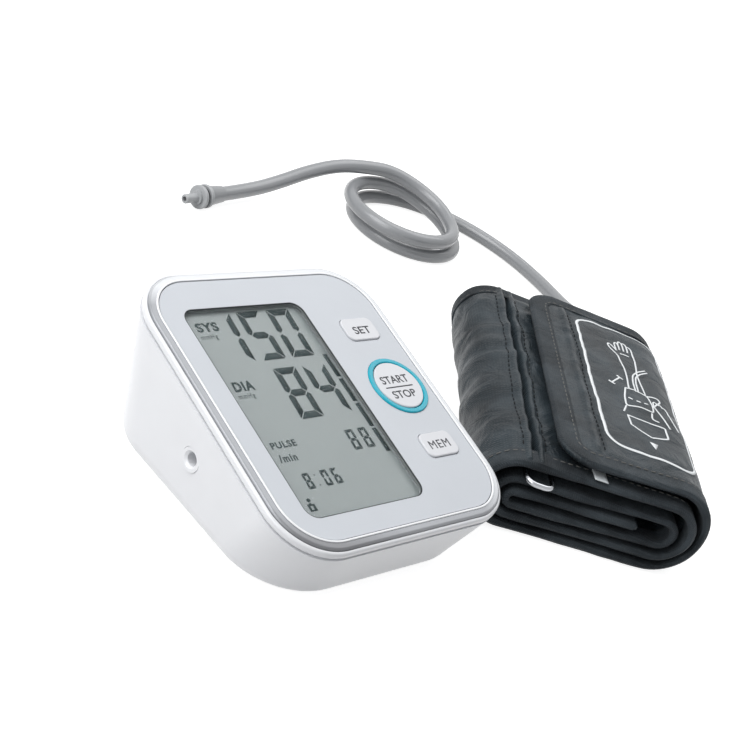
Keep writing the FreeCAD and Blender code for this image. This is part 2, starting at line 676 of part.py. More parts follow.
def upper_case():
    """Rim and plate that the faceplate lies on, with a tongue and screw bosses below."""
    body = new_body("upper_body")
    middle = (ZERO, FACE_MID)
    seat = grown(FACE, 2 * S.trim_gap + S.trim_width)
    rim_top = -S.rim_step
    rim = pad(body, [CASE_RIM], middle, PLATE_BOTTOM, rim_top)
    round_level(body, rim, rim_top, S.rim_round)
    DOC.recompute()
    round_level(body, body.Tip, PLATE_BOTTOM, S.rim_under)
    pocket(body, [seat], middle, PLATE_TOP, rim_top)
    tongue = grown(CASE_RIM, -S.case_wall - S.skirt_inset)
    inside = grown(tongue, -S.skirt_thick)
    pad(body, [tongue, inside], middle, PLATE_BOTTOM - S.skirt_depth, PLATE_BOTTOM)
    pocket(body, [grown(GLASS, S.fit_gap)], WINDOW_MID, PLATE_BOTTOM, PLATE_TOP)
    pocket(body, [(RING_INNER,)], (S.keys_x, S.start_y), PLATE_BOTTOM, PLATE_TOP)
    for y in KEY_PLACES.values():
        pocket(body, [KEY_OPENING], (S.keys_x, y), PLATE_BOTTOM, PLATE_TOP)
    for x, y in BOARD_SCREWS[2:]:
        post = (S.post_radius,)
        hole = (S.board_screw_radius + S.fit_gap,)
        pad(body, [post, hole], (x, y), BOARD_TOP, PLATE_BOTTOM)
    on_panel(body)
    bosses, pilots = [], []
    start = S.tower_top_z + S.fit_gap
    for x, y in CASE_SCREWS:
        rise = (y - S.panel_front_y) * math.tan(math.radians(float(S.panel_tilt)))
        top = S.panel_front_z + rise - S.face_thick - S.face_thick
        bosses.append(rod("boss", S.boss_radius, top - start, (x, y, start)))
        pilots.append(rod("pilot", S.screw_radius + S.screw_play / 2, S.pilot_length + 1,
                          (x, y, start - 1)))
    whole = joined("upper_with_bosses", [body] + bosses)
    part("upper_case", cut("upper", whole, joined("pilots", pilots)))


# ---------------------------------------------------------------- lower case
def case_form(name, inset):
    """The wedge of the lower case: a loft from the footprint up to the parting line."""
    body = new_body(name)
    base = (S.base_width, S.base_length, S.base_corner)
    low = new_sketch(body, ZERO, ZERO, S.foot_height + inset)
    draw_outline(low, *grown(base, -inset))
    tilt = math.radians(float(S.panel_tilt))
    depth = S.rim_drop + S.seam_gap
    high = new_sketch(body, ZERO,
                      S.panel_front_y + FACE_MID * math.cos(tilt) + depth * math.sin(tilt),
                      S.panel_front_z + FACE_MID * math.sin(tilt) - depth * math.cos(tilt))
    offset = high.AttachmentOffset
    high.AttachmentOffset = Placement(offset.Base, Rotation(Vector(1, 0, 0), float(S.panel_tilt)))
    bind(high, "AttachmentOffset.Rotation.Angle", S.panel_tilt)
    draw_outline(high, *grown(CASE_RIM, -inset))
    loft = body.newObject("PartDesign::AdditiveLoft", name + "_loft")
    loft.Profile = high
    loft.Sections = [low]
    loft.Ruled = True
    round_level(body, loft, S.foot_height + inset, S.base_round - inset)
    return body


def socket_mouth():
    """X of the air socket's mouth: just outside the drafted left wall at the socket."""
    slope = math.tan(math.radians(float(S.panel_tilt)))
    part_line = S.panel_front_z + (S.socket_y - S.panel_front_y) * slope - S.rim_drop - S.seam_gap
    share = (S.hose_z - S.foot_height) / (part_line - S.foot_height)
    foot, top = S.base_width / 2, S.face_width / 2 + S.rim_width
    return -(foot + (top - foot) * share + S.socket_proud)


SOCKET_X = socket_mouth()
BAY_HALF = S.cell_count * S.cell_pitch / 2 + S.bay_margin
BAY_FRONT_Y = S.bay_rear_y - S.bay_length
FLOOR_TOP = S.foot_height + S.case_wall
REAR_Y = S.base_length / 2 + S.rim_width + S.base_round


def lower_case(outer, inner):
    shell = cut("case_shell", outer, inner)
    towers = [rod("tower", S.tower_radius, S.tower_top_z - S.foot_height, (x, y, S.foot_height))
              for x, y in CASE_SCREWS]
    bay_outer = BAY_HALF + S.bay_wall
    bay = box("bay_block", (-bay_outer, BAY_FRONT_Y - S.bay_wall, S.foot_height),
              (2 * bay_outer, S.bay_length + 2 * S.bay_wall, S.bay_top_z + S.bay_roof - S.foot_height))
    inside = common("case_inside", outer, joined("towers_and_bay", towers + [bay]))
    tongue_half = BAY_HALF + S.door_tongue
    tongue_low = S.foot_height + S.case_wall / 2
    cutters = [
        box("bay_room", (-BAY_HALF, BAY_FRONT_Y, ZERO), (2 * BAY_HALF, S.bay_length, S.bay_top_z)),
        box("door_way", (-BAY_HALF, BAY_FRONT_Y, ZERO),
            (2 * BAY_HALF, REAR_Y - BAY_FRONT_Y, FLOOR_TOP + S.door_play)),
        box("door_groove", (-tongue_half, BAY_FRONT_Y, tongue_low),
            (2 * tongue_half, REAR_Y - BAY_FRONT_Y, FLOOR_TOP + S.door_play - tongue_low)),
        box("tab_way", (-S.door_tab_width / 2, S.bay_rear_y + S.bay_wall, ZERO),
            (S.door_tab_width, REAR_Y - S.bay_rear_y, S.door_tab_height + S.door_play)),
        rod("socket_way", S.socket_radius + S.fit_gap / 2, 2 * S.socket_length,
            (SOCKET_X - S.socket_length / 2, S.socket_y, S.hose_z), "x"),
    ]
    for x, y in CASE_SCREWS:
        cutters.append(rod("recess", S.screw_head_radius + S.door_play, S.screw_seat_z, (x, y, ZERO)))
        cutters.append(rod("clear", S.screw_radius + S.screw_play, S.panel_front_z, (x, y, ZERO)))
    for x in (-S.foot_x, S.foot_x):
        for y in (-S.foot_y, S.foot_y):
            cutters.append(rod("foot_seat", S.foot_radius + S.fit_gap / 2, S.foot_sunk,
                               (x, y, S.foot_height)))
    whole = joined("case_whole", [shell, inside])
    part("lower_case", cut("lower", whole, joined("case_cutters", cutters)))
    return shell


def battery_door(shell):
    """The piece of the base and rear wall that slides out to the back."""
    play = S.door_play
    half = BAY_HALF - play
    tongue_half = BAY_HALF + S.door_tongue - play
    start = BAY_FRONT_Y + play
    tongue_low = S.foot_height + S.case_wall / 2 + play
    plate = box("door_plate", (-half, start, ZERO), (2 * half, REAR_Y - start, FLOOR_TOP))
    tongue = box("door_tongues", (-tongue_half, start, tongue_low),
                 (2 * tongue_half, REAR_Y - start, FLOOR_TOP - tongue_low))
    tab_half = S.door_tab_width / 2 - play
    tab = box("door_tab", (-tab_half, S.bay_rear_y + S.bay_wall + play, ZERO),
              (2 * tab_half, REAR_Y - S.bay_rear_y, S.door_tab_height))
    blank = common("door_blank", shell, joined("door_boxes", [plate, tongue, tab]))
    grips = [box("grip", (-S.grip_length / 2, S.bay_rear_y - S.grip_start - S.grip_pitch * i, ZERO),
                 (S.grip_length, S.grip_width, S.foot_height + S.grip_depth))
             for i in range(int(float(S.grip_count)))]
    part("battery_door", cut("door", blank, joined("grips", grips)))


def feet_and_screws():
    feet = [rod("foot", S.foot_radius, S.foot_height + S.foot_sunk, (x, y, ZERO))
            for x in (-S.foot_x, S.foot_x) for y in (-S.foot_y, S.foot_y)]
    part("rubber_feet", group("feet", feet))
    screws = []
    for x, y in CASE_SCREWS:
        seat = S.screw_seat_z
        reach = S.tower_top_z + S.screw_bite - seat
        shank = rod("shank", S.screw_radius, reach, (x, y, seat))
        head = rod("head", S.screw_head_radius, S.screw_head_height,
                   (x, y, seat - S.screw_head_height))
        screws.append(joined("case_screw", [shank, head]))
    part("case_screws", group("case_screw_set", screws))


def batteries():
    """Four AA cells side by side, every other one turned end for end."""
    cells, plates, springs = [], [], []
    z = FLOOR_TOP + S.cell_radius + S.cell_lift
    middle = BAY_FRONT_Y + S.bay_length / 2
    for i in range(int(float(S.cell_count))):
        x = (i - (S.cell_count - 1) / 2) * S.cell_pitch
        way = 1 if i % 2 == 0 else -1
        turn = "y" if way > 0 else "-y"
        start = middle - way * (S.cell_length + S.cell_nub) / 2
        can = rod("can", S.cell_radius, S.cell_length, (x, start, z), turn)
        nub = rod("nub", S.nub_radius, S.cell_nub, (x, start + way * S.cell_length, z), turn)
        cells.append(joined("cell", [can, nub]))
        for end in (-1, 1):
            wall_y = middle + end * (S.bay_length / 2 - S.contact_thick / 2)
            corner = (x - S.contact_size / 2, wall_y - S.contact_thick / 2, z - S.contact_size / 2)
            plates.append(box("plate", corner, (S.contact_size, S.contact_thick, S.contact_size)))
        spring_room = (S.bay_length - S.cell_length - S.cell_nub) / 2 - S.contact_thick
        back = middle - way * (S.bay_length / 2 - S.contact_thick)
        springs.append(taper("spring", S.spring_wide, S.spring_slim, spring_room - S.spring_play,
                             (x, back, z), turn))
    part("batteries", group("cells", cells))
    part("battery_contacts", group("plates", plates))
    part("battery_springs", group("springs", springs))


# ---------------------------------------------------------------- air line
def bent_line(points, radii):
    """Straight runs joined by tangent arcs: one wire through hand-picked points."""
    edges = []
    last = points[0]
    for before, point, after, radius in zip(points, points[1:], points[2:], radii):
        arrive = (before - point).normalize()
        leave = (after - point).normalize()
        half_turn = (math.pi - arrive.getAngle(leave)) / 2
        trim = radius * math.tan(half_turn)
        start, end = point + arrive * trim, point + leave * trim
        centre_way = (arrive + leave).normalize()
        middle = point + centre_way * (radius / math.cos(half_turn) - radius)
        edges.append(Part.LineSegment(last, start).toShape())
        edges.append(Part.Arc(start, middle, end).toShape())
        last = end
    edges.append(Part.LineSegment(last, points[-1]).toShape())
    return Part.Wire(edges)


def swept(wire, radius):
    """A round tube along a wire of tangent runs and arcs."""
    first = wire.OrderedEdges[0]
    start = first.valueAt(first.FirstParameter)
    way = first.tangentAt(first.FirstParameter)
    profile = Part.Wire(Part.makeCircle(radius, start, way))
    return wire.makePipeShell([profile], True, False)


def shape_feature(name, shape, placement=None):
    thing = DOC.addObject("Part::Feature", name)
    thing.Shape = shape
    if placement is not None:
        thing.Placement = placement
    return thing


def air_line():
    """Pump, air block and valve in one line, the sensor beside it, and the socket."""
    y, z = S.pump_y, S.pump_z
    motor_end = S.motor_x + S.motor_length
    head_end = motor_end + S.head_length
    motor = joined("motor", [
        rod("motor_can", S.motor_radius, S.motor_length, (S.motor_x, y, z), "x"),
        rod("motor_hub", S.motor_radius / 3, S.motor_nose, (S.motor_x - S.motor_nose, y, z), "x")])
    part("pump_motor", motor)
    sleeve = rod("sleeve_outside", S.motor_radius + S.sleeve_thick, S.motor_length - 2 * S.sleeve_short,
                 (S.motor_x + S.sleeve_short, y, z), "x")
    room = rod("sleeve_inside", S.motor_radius, S.motor_length, (S.motor_x, y, z), "x")
    part("motor_sleeve", cut("sleeve", sleeve, room))
    half = S.head_size / 2
    head = joined("head", [
        box("head_block", (motor_end, y - half, z - half), (S.head_length, S.head_size, S.head_size)),
        rod("head_nipple", S.port_radius, S.port_length, (head_end, y, z), "x")])
    part("pump_head", head)
    side = S.block_size
    block = box("block", (S.block_x, y - side / 2, z - side / 2), (side, side, side))
    part("air_block", block)
    part("release_valve", joined("valve", [
        rod("valve_can", S.valve_radius, S.valve_length, (S.valve_x, y, z), "x"),
        rod("valve_nipple", S.port_radius, S.port_length, (S.valve_x - S.port_length, y, z), "x")]))
    short_hoses = [
        rod("hose", S.hose_radius, S.block_x - head_end, (head_end, y, z), "x"),
        rod("hose", S.hose_radius, S.valve_x - S.block_x - side, (S.block_x + side, y, z), "x")]
    nipples = [rod("bore", S.port_radius, S.port_length, (head_end, y, z), "x"),
               rod("bore", S.port_radius, S.port_length, (S.valve_x - S.port_length, y, z), "x")]
    short = cut("short_hoses", group("hose_pair", short_hoses), joined("hose_bores", nipples))
    block_mid = float(S.block_x + side / 2)
    inner_end = float(SOCKET_X + S.socket_length)
    top = float(z + side / 2)
    line = [Vector(block_mid, float(y), top),
            Vector(block_mid, float(y), float(S.hose_z)),
            Vector(block_mid, float(S.socket_y), float(S.hose_z)),
            Vector(inner_end, float(S.socket_y), float(S.hose_z))]
    turns = [float(S.hose_turn_small), float(S.hose_turn_large)]
    long_hose = shape_feature("long_hose", swept(bent_line(line, turns), float(S.hose_radius)))
    sensor_low, sensor_out = float(z + S.sensor_up - S.fit_gap / 2), float(y - S.sensor_out)
    line = [Vector(block_mid, float(y - side / 2), float(z)),
            Vector(block_mid, sensor_out, float(z)),
            Vector(block_mid, sensor_out, sensor_low)]
    sensor_hose = shape_feature("sensor_hose", swept(bent_line(line, turns[:1]), float(S.hose_radius)))
    part("inner_hoses", group("hoses", [short, long_hose, sensor_hose]))
    part("pressure_sensor", rod("sensor_can", S.sensor_radius, S.sensor_height,
                                (S.block_x + side / 2, y - S.sensor_out, z + S.sensor_up)))


def air_socket():
    """Socket in the left wall that the tube's plug goes into."""
    mouth = (SOCKET_X, S.socket_y, S.hose_z)
    tube = joined("socket_body", [
        rod("socket_tube", S.socket_radius, S.socket_length, mouth, "x"),
        rod("socket_flange", S.socket_radius + S.socket_flange, S.socket_flange,
            (SOCKET_X + S.case_wall + S.socket_seat, S.socket_y, S.hose_z), "x")])
    bore = rod("socket_bore", S.socket_bore, S.socket_depth, mouth, "x")
    lead = taper("socket_lead", S.socket_bore + S.socket_lead, S.socket_bore, S.socket_lead, mouth, "x")
    part("air_socket", cut("socket", tube, joined("socket_bores", [bore, lead])))


# ---------------------------------------------------------------- cuff
CUFF_PLACE = Placement(Vector(float(S.cuff_x), float(S.cuff_y), 0),
                       Rotation(Vector(0, 0, 1), float(S.cuff_turn)))


class WoundBand:
    """The packed cuff's layers, seen from one end: x across, z up.

    The band starts at the flap's edge on top, folds down round the right side, runs
    back underneath, folds up round the left side, and so on inwards.
    """

    def __init__(self):
        thick, gap = float(S.band_thick), float(S.band_gap)
        step = thick + gap
        low = thick / 2
        self.bottoms = [low, low + step, low + 2 * step]
        fourth = self.bottoms[2] + step + gap
        third = fourth + step
        second = third + thick + float(S.wire_gap)
        first = second + thick + float(S.hook_gap)
        self.tops = [first, second, third, fourth]
        half = float(S.cuff_width) / 2
        self.right = half - thick / 2 - (first - low) / 2
        self.left = -half + thick / 2 + (second - low) / 2
        self.flap = -half + float(S.flap_start)
        self.wire_z = (second + third) / 2
        self.core_z = (third + self.bottoms[2]) / 2
        self.top_z = first + thick / 2

    def runs(self):
        """The middle line: straight runs (from, to) and half-circle folds between."""
        found = [("run", (self.flap, self.tops[0]), (self.right, self.tops[0]))]
        for turn in range(3):
            top, low, after = self.tops[turn], self.bottoms[turn], self.tops[turn + 1]
            found.append(("fold", (self.right, (top + low) / 2), (top - low) / 2, 90))
            found.append(("run", (self.right, low), (self.left, low)))
            found.append(("fold", (self.left, (low + after) / 2), (after - low) / 2, -90))
            end = self.right if turn < 2 else float(S.core_end)
            found.append(("run", (self.left, after), (end, after)))
        return found

    def edges(self, start, end, offset, y):
        """Edges of the line that lies offset outside the middle line, between two
        distances measured along the middle line."""
        found, done = [], 0.0
        for run in self.runs():
            if run[0] == "run":
                (x0, z0), (x1, z1) = run[1:]
                length = abs(x1 - x0)
            else:
                (cx, cz), radius, angle = run[1:]
                length = math.pi * radius
            t0 = max(0.0, (start - done) / length)
            t1 = min(1.0, (end - done) / length)
            done += length
            if t1 - t0 < 1e-6:
                continue
            if run[0] == "run":
                z = z0 + (offset if x1 > x0 else -offset)
                a, b = x0 + (x1 - x0) * t0, x0 + (x1 - x0) * t1
                found.append(Part.LineSegment(Vector(a, y, z), Vector(b, y, z)).toShape())
            else:
                def spot(t):
                    turn = math.radians(angle - 180 * t)
                    return Vector(cx + (radius + offset) * math.cos(turn), y,
                                  cz + (radius + offset) * math.sin(turn))
                found.append(Part.Arc(spot(t0), spot((t0 + t1) / 2), spot(t1)).toShape())
        return found

    def length(self):
        return sum(abs(r[2][0] - r[1][0]) if r[0] == "run" else math.pi * r[2]
                   for r in self.runs())

    def strip(self, start, end, thick, width):
        """A strip of the band as a solid, centred along the folds."""
        outer = Part.Wire(self.edges(start, end, thick / 2, -width / 2))
        inner = Part.Wire(self.edges(start, end, -thick / 2, -width / 2))
        a0, a1 = outer.OrderedVertexes[0].Point, outer.OrderedVertexes[-1].Point
        b0, b1 = inner.OrderedVertexes[0].Point, inner.OrderedVertexes[-1].Point
        caps = [Part.LineSegment(a0, b0).toShape(), Part.LineSegment(a1, b1).toShape()]
        face = Part.Face(Part.Wire(Part.__sortEdges__(outer.Edges + inner.Edges + caps)))
        return face.extrude(Vector(0, width, 0))


def half_length(x):
    """Half of the packed cuff's length at x: it is longer at the ring's side."""
    share = (x + float(S.cuff_width) / 2) / float(S.cuff_width)
    tall, low = float(S.cuff_tall_side) / 2, float(S.cuff_low_side) / 2
    return tall + (low - tall) * share


def cuff():
    band = WoundBand()
    half = float(S.cuff_width) / 2
    longest = 2 * half_length(-half)
    cloth = band.strip(0, band.length(), float(S.band_thick), longest + 10)
    corners = [Vector(x, way * half_length(x), -1)
               for x, way in ((-half - 1, -1), (half + 1, -1), (half + 1, 1), (-half - 1, 1))]
    plan = Part.Face(Part.makePolygon(corners + corners[:1])).extrude(Vector(0, 0, band.top_z + 2))
    cloth = cloth.common(plan)
    radius = float(S.flap_corner)
    edge = half_length(band.flap + radius)
    for way in (-1, 1):
        low = band.top_z - float(S.band_thick) - float(S.hook_gap) / 2
        y = way * (edge - radius)
        block = Part.makeBox(radius + 2, 2 * radius, 10,
                             Vector(band.flap - 2, min(y, y + 2 * way * radius), low))
        round_off = Part.makeCylinder(radius, 10, Vector(band.flap + radius, y, low))
        cloth = cloth.cut(block.cut(round_off))
    pocket_gap = float(S.pocket_gap)
    room = band.strip(float(S.bladder_start) - pocket_gap, float(S.bladder_end) + pocket_gap,
                      float(S.bladder_thick) + 2 * pocket_gap,
                      float(S.bladder_width) + 2 * pocket_gap)
    spout_start = float(S.bladder_width) / 2 + pocket_gap
    spout_end = half_length(band.right) + float(S.port_out)
    spout_length = spout_end - spout_start
    spout_room = Part.makeCylinder(float(S.port_tube_radius) + pocket_gap, spout_length + 1.0,
                                   Vector(band.right, spout_start - pocket_gap, band.core_z),
                                   Vector(0, 1, 0))
    part("cuff_band", shape_feature("band", cloth.cut(room).cut(spout_room), CUFF_PLACE))
    bladder = band.strip(float(S.bladder_start), float(S.bladder_end),
                         float(S.bladder_thick), float(S.bladder_width))
    part("cuff_bladder", shape_feature("bladder", bladder, CUFF_PLACE))
    spout = Part.makeCylinder(float(S.port_tube_radius), spout_length,
                              Vector(band.right, spout_start, band.core_z), Vector(0, 1, 0))
    part("tube_spout", shape_feature("spout", spout, CUFF_PLACE))
    hook_low = band.tops[1] + float(S.band_thick + S.hook_gap - S.hook_thick) / 2
    hook = Part.makeBox(float(S.hook_width), float(S.hook_length), float(S.hook_thick),
                        Vector(band.flap + float(S.hook_inset), -float(S.hook_length) / 2, hook_low))
    part("hook_pad", shape_feature("hook", hook, CUFF_PLACE))
    part("cuff_ring", shape_feature("wire_ring", wire_ring(band), CUFF_PLACE))
    return CUFF_PLACE.multVec(Vector(band.right, spout_end, band.core_z))


def wire_ring(band):
    """Closed rectangle of round wire that the band is threaded through."""
    radius = float(S.wire_radius)
    left = -float(S.cuff_width) / 2 + float(S.wire_from_side) + radius
    right = left + float(S.wire_width) - 2 * radius
    end = half_length(left) + float(S.wire_over) - radius
    bend = float(S.wire_bend)
    z = band.wire_z
    corners = [Vector(x, y, z) for x, y in ((left, -end), (right, -end), (right, end), (left, end))]
    edges = []
    for i in range(4):
        before, here, after = corners[i - 1], corners[i], corners[(i + 1) % 4]
        arrive, leave = (before - here).normalize(), (after - here).normalize()
        start, stop = here + arrive * bend, here + leave * bend
        middle = here + (arrive + leave) * (bend * (1 - math.sqrt(0.5)))
        edges.append(Part.Arc(start, middle, stop).toShape())
        edges.append(Part.LineSegment(stop, after - leave * bend).toShape())
    path = Part.Wire(edges)
    start = edges[0].valueAt(edges[0].FirstParameter)
    way = edges[0].tangentAt(edges[0].FirstParameter)
    profile = Part.Wire(Part.makeCircle(radius, start, way))
    return path.makePipeShell([profile], True, False)


# ---------------------------------------------------------------- air tube
TUBE_FROM_CUFF = [(238.3, 41.1, 18.2), (253.5, 60.0, 11.0), (265.5, 82.0, 5.0), (273.5, 106.5, 4.0),
                  (275.5, 132.0, 4.0), (270.5, 157.0, 4.0), (258.5, 178.5, 4.0), (241.5, 192.0, 4.0)]
TUBE_TO_PLUG = [(191.0, 199.0, 20.5), (172.5, 200.5, 15.5), (154.0, 200.0, 9.2), (134.0, 197.5, 6.0)]
TUBE_END = (112.0, 193.6, 6.0)
LOOP_MIDDLE, LOOP_SHIFT, LOOP_RADIUS = (221.0, 165.0), -12.0, 31.0
LOOP_STEPS, LOOP_STEP = 24, 30.0
LOOP_LOW, LOOP_RISE = 4.0, 8.8
RISE_STARTS = (8, 20)


def loop_points():
    """Two loose turns, the second beside and over the first."""
    points = []
    for i in range(LOOP_STEPS + 1):
        turn = math.radians(90.0 + LOOP_STEP * i)
        middle = LOOP_MIDDLE[0] + LOOP_SHIFT * i / LOOP_STEPS
        rise = sum(min(max((i - start) / 3.0, 0.0), 1.0) for start in RISE_STARTS)
        points.append((middle + LOOP_RADIUS * math.cos(turn),
                       LOOP_MIDDLE[1] + LOOP_RADIUS * math.sin(turn),
                       LOOP_LOW + LOOP_RISE * rise))
    return points


def air_tube(start):
    points = [start] + [Vector(*p) for p in TUBE_FROM_CUFF + loop_points() + TUBE_TO_PLUG]
    points.append(Vector(*TUBE_END))
    radii = []
    for before, point, after in zip(points, points[1:], points[2:]):
        run_in, run_out = point - before, after - point
        turn = run_in.getAngle(run_out)
        radii.append(0.45 * min(run_in.Length, run_out.Length) / math.tan(turn / 2))
    line = bent_line(points, radii)
    tube = swept(line, float(S.tube_radius))
    section = math.pi * float(S.tube_radius) ** 2
    print("air tube: length %.1f mm, smallest radius %.1f mm, volume share %.4f"
          % (line.Length, min(radii), tube.Volume / (section * line.Length)))
    part("air_tube", shape_feature("tube", tube))
    return points[-2], points[-1]


def air_plug(before, end):
    """Collar on the tube's end, then a plug with two finger ribs and a nozzle."""
    way = (end - before)
    way.z = 0
    way.normalize()
    turn = Placement(end, Rotation(Vector(0, 0, 1), way))
    thin = float(S.tube_radius + S.collar_step)
    collar = Part.makeCone(thin, float(S.collar_radius), float(S.collar_length))
    part("plug_collar", shape_feature("collar", collar, turn))
    rib, gap = float(S.plug_rib_thick), float(S.plug_rib_gap)
    start = float(S.collar_length)
    first = float(S.plug_rib_start)
    shank_length = first + 2 * rib + gap + float(S.plug_neck)
    plug = Part.makeCylinder(float(S.plug_radius), shank_length, Vector(0, 0, start))
    for i in range(2):
        low = start + first + i * (rib + gap)
        disc = Part.makeCylinder(float(S.plug_rib_radius), rib, Vector(0, 0, low))
        rims = [e for e in disc.Edges if e.Curve.TypeId == "Part::GeomCircle"]
        disc = disc.makeFillet(float(S.plug_rib_round), rims)
        plug = plug.fuse(disc)
    nozzle_start = start + shank_length
    length = float(S.nozzle_length)
    nozzle = Part.makeCylinder(float(S.nozzle_radius), length, Vector(0, 0, nozzle_start))
    tip_rim = [e for e in nozzle.Edges if abs(e.BoundBox.ZMin - nozzle_start - length) < 1e-4]
    plug = plug.fuse(nozzle.makeChamfer(float(S.nozzle_lead), tip_rim))
    air_way = Part.makeCylinder(float(S.nozzle_bore), shank_length + length, Vector(0, 0, start))
    part("tube_plug", shape_feature("plug", plug.cut(air_way).removeSplitter(), turn))
    tip = turn.multVec(Vector(0, 0, nozzle_start + length / 2))
    print("plug nozzle: middle %s, way %s" % (tip, way))


# ---------------------------------------------------------------- build and export
def build():
    faceplate()
    trim_band()
    glass_bottom = display_stack()
    display_holder(glass_bottom)
    circuit_board()
    board_parts()
    key_mat()
    buttons()
    start_ring()
    upper_case()
    outer = case_form("case_outer", ZERO)
    inner = case_form("case_inner", S.case_wall)
    shell = lower_case(outer, inner)
    battery_door(shell)
    feet_and_screws()
    batteries()
    air_line()
    air_socket()
    spout_end = cuff()
    before, end = air_tube(spout_end)
    air_plug(before, end)
    DOC.recompute()


def check():
    """Stop if any object failed or any sub-part is not a valid solid."""
    for thing in DOC.Objects:
        if "Invalid" in thing.State or "Error" in thing.State:
            raise RuntimeError("%s (%s) failed: %s" % (thing.Label, thing.Name, thing.State))
    for label, thing in PARTS.items():
        shape = thing.Shape
        if shape.isNull() or not shape.isValid() or not shape.Solids:
            raise RuntimeError("%s has no valid solid" % label)


def export():
    os.makedirs("parts", exist_ok=True)
    for label, thing in PARTS.items():
        thing.Shape.exportStep(os.path.join("parts", label + ".step"))
        print("%-20s %2d solids %12.1f mm3" % (label, len(thing.Shape.Solids), thing.Shape.Volume))


build()
check()
export()
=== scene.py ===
# %% [markdown]
# Arm-in blood pressure monitor
#
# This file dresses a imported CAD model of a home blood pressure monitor: a console with a
# display and three keys, a folded arm cuff, and a looped air tube with its plug. The CAD
# model gives every rigid piece its place and size. Here each piece gets its finish, and
# what is soft or printed is modelled: cloth, stitches, display segments and lettering.

# %% Load the frame
import math
import bpy
import numpy as np
from mathutils import Matrix, Vector


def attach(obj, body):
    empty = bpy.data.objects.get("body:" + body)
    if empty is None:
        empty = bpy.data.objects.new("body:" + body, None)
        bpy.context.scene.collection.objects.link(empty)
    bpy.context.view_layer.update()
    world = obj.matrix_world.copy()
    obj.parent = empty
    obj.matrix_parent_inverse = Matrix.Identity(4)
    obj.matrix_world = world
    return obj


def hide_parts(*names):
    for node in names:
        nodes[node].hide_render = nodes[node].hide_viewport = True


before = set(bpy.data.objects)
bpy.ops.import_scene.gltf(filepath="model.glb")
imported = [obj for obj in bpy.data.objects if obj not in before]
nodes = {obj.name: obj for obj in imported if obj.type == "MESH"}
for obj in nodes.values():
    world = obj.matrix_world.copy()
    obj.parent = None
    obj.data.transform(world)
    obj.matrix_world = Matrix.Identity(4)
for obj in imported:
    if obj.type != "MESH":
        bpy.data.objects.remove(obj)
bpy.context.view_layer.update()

# %% [markdown]
# Frames of reference
#
# Everything is drawn in millimetres in the frame where it is easiest to think, and is
# then carried to the shared frame in metres. The panel has its own frame: x to the right
# from the panel's middle, y up the panel from its lower edge, z out of the faceplate. The
# cuff has one too: x across it, y along its folds, z up from the table. Where a printed or
# soft piece has to meet a CAD piece, its place is read back from that piece's box.

# %% Frames
MM = 0.001
PANEL_TILT = math.radians(13.5)
PANEL_FRONT = (0.0, -56.5, 30.5)
CUFF_MIDDLE = (151.0, -11.0, 0.0)
CUFF_TURN = math.radians(-42.0)

PANEL = Matrix.Scale(MM, 4) @ Matrix.Translation(PANEL_FRONT) @ Matrix.Rotation(PANEL_TILT, 4, "X")
CUFF = Matrix.Scale(MM, 4) @ Matrix.Translation(CUFF_MIDDLE) @ Matrix.Rotation(CUFF_TURN, 4, "Z")
TABLE = Matrix.Scale(MM, 4)


def carry(points, place):
    """Points (n, 3) in millimetres, carried to the shared frame in metres by one matrix.

    Each point is multiplied by the matrix's turning part and moved by its last column.
    """
    turn = np.array(place.to_3x3())
    return points @ turn.T + np.array(place.translation)


def node_box(node, place):
    """The lowest and the highest corner of a CAD node, in millimetres in one of the frames.

    Its points go through the inverse matrix, and the corners are rounded to a thousandth.
    """
    mesh = nodes[node].data
    points = np.empty(3 * len(mesh.vertices))
    mesh.vertices.foreach_get("co", points)
    corners = carry(points.reshape(-1, 3), place.inverted())
    return np.round(corners.min(0), 3), np.round(corners.max(0), 3)


print("panel leans %.1f degrees, cuff turned by %.1f" % (math.degrees(PANEL_TILT), math.degrees(CUFF_TURN)))

# %% [markdown]
# Meshes from arrays
#
# A surface is a grid of points worked out with numpy. It could be modelled by hand, but a
# formula keeps its sizes true and can be changed in one place. One function joins the
# grid's neighbours into four-sided faces, and can close it along either direction, so that
# a tube, a ring or a cap all come from the same few lines.

# %% Mesh helpers
MERGE_GAP = 1e-7


def new_piece(name, points, faces, place, finish, smooth=True):
    """Make an object from points (n, 3) and faces, put its place in its mesh, paint it."""
    mesh = bpy.data.meshes.new(name)
    mesh.from_pydata(carry(np.asarray(points, float), place).tolist(), [], faces)
    mesh.validate()
    mesh.polygons.foreach_set("use_smooth", np.full(len(mesh.polygons), smooth))
    mesh.materials.append(finish)
    mesh.update()
    piece = bpy.data.objects.new(name, mesh)
    bpy.context.scene.collection.objects.link(piece)
    return piece


def grid_faces(rows, columns, close_rows=False, close_columns=False, start=0):
    """Four-sided faces between neighbours in a grid of rows x columns points.

    Point (i, j) has the number start + i * columns + j; each face joins (i, j), (i, j + 1),
    (i + 1, j + 1) and (i + 1, j), and a closed direction goes on from its last to its first.
    """
    i = np.arange(rows if close_rows else rows - 1)
    j = np.arange(columns if close_columns else columns - 1)
    i, j = [a.ravel() for a in np.meshgrid(i, j, indexing="ij")]
    i1, j1 = (i + 1) % rows, (j + 1) % columns
    quads = np.stack([i * columns + j, i * columns + j1, i1 * columns + j1, i1 * columns + j], 1)
    return (quads + start).tolist()


def face_out(piece):
    """Turn every face outwards, after merging doubled points."""
    bpy.context.view_layer.objects.active = piece
    bpy.ops.object.select_all(action="DESELECT")
    piece.select_set(True)
    bpy.ops.object.mode_set(mode="EDIT")
    bpy.ops.mesh.select_all(action="SELECT")
    bpy.ops.mesh.remove_doubles(threshold=MERGE_GAP)
    bpy.ops.mesh.normals_make_consistent(inside=False)
    bpy.ops.object.mode_set(mode="OBJECT")
    return piece


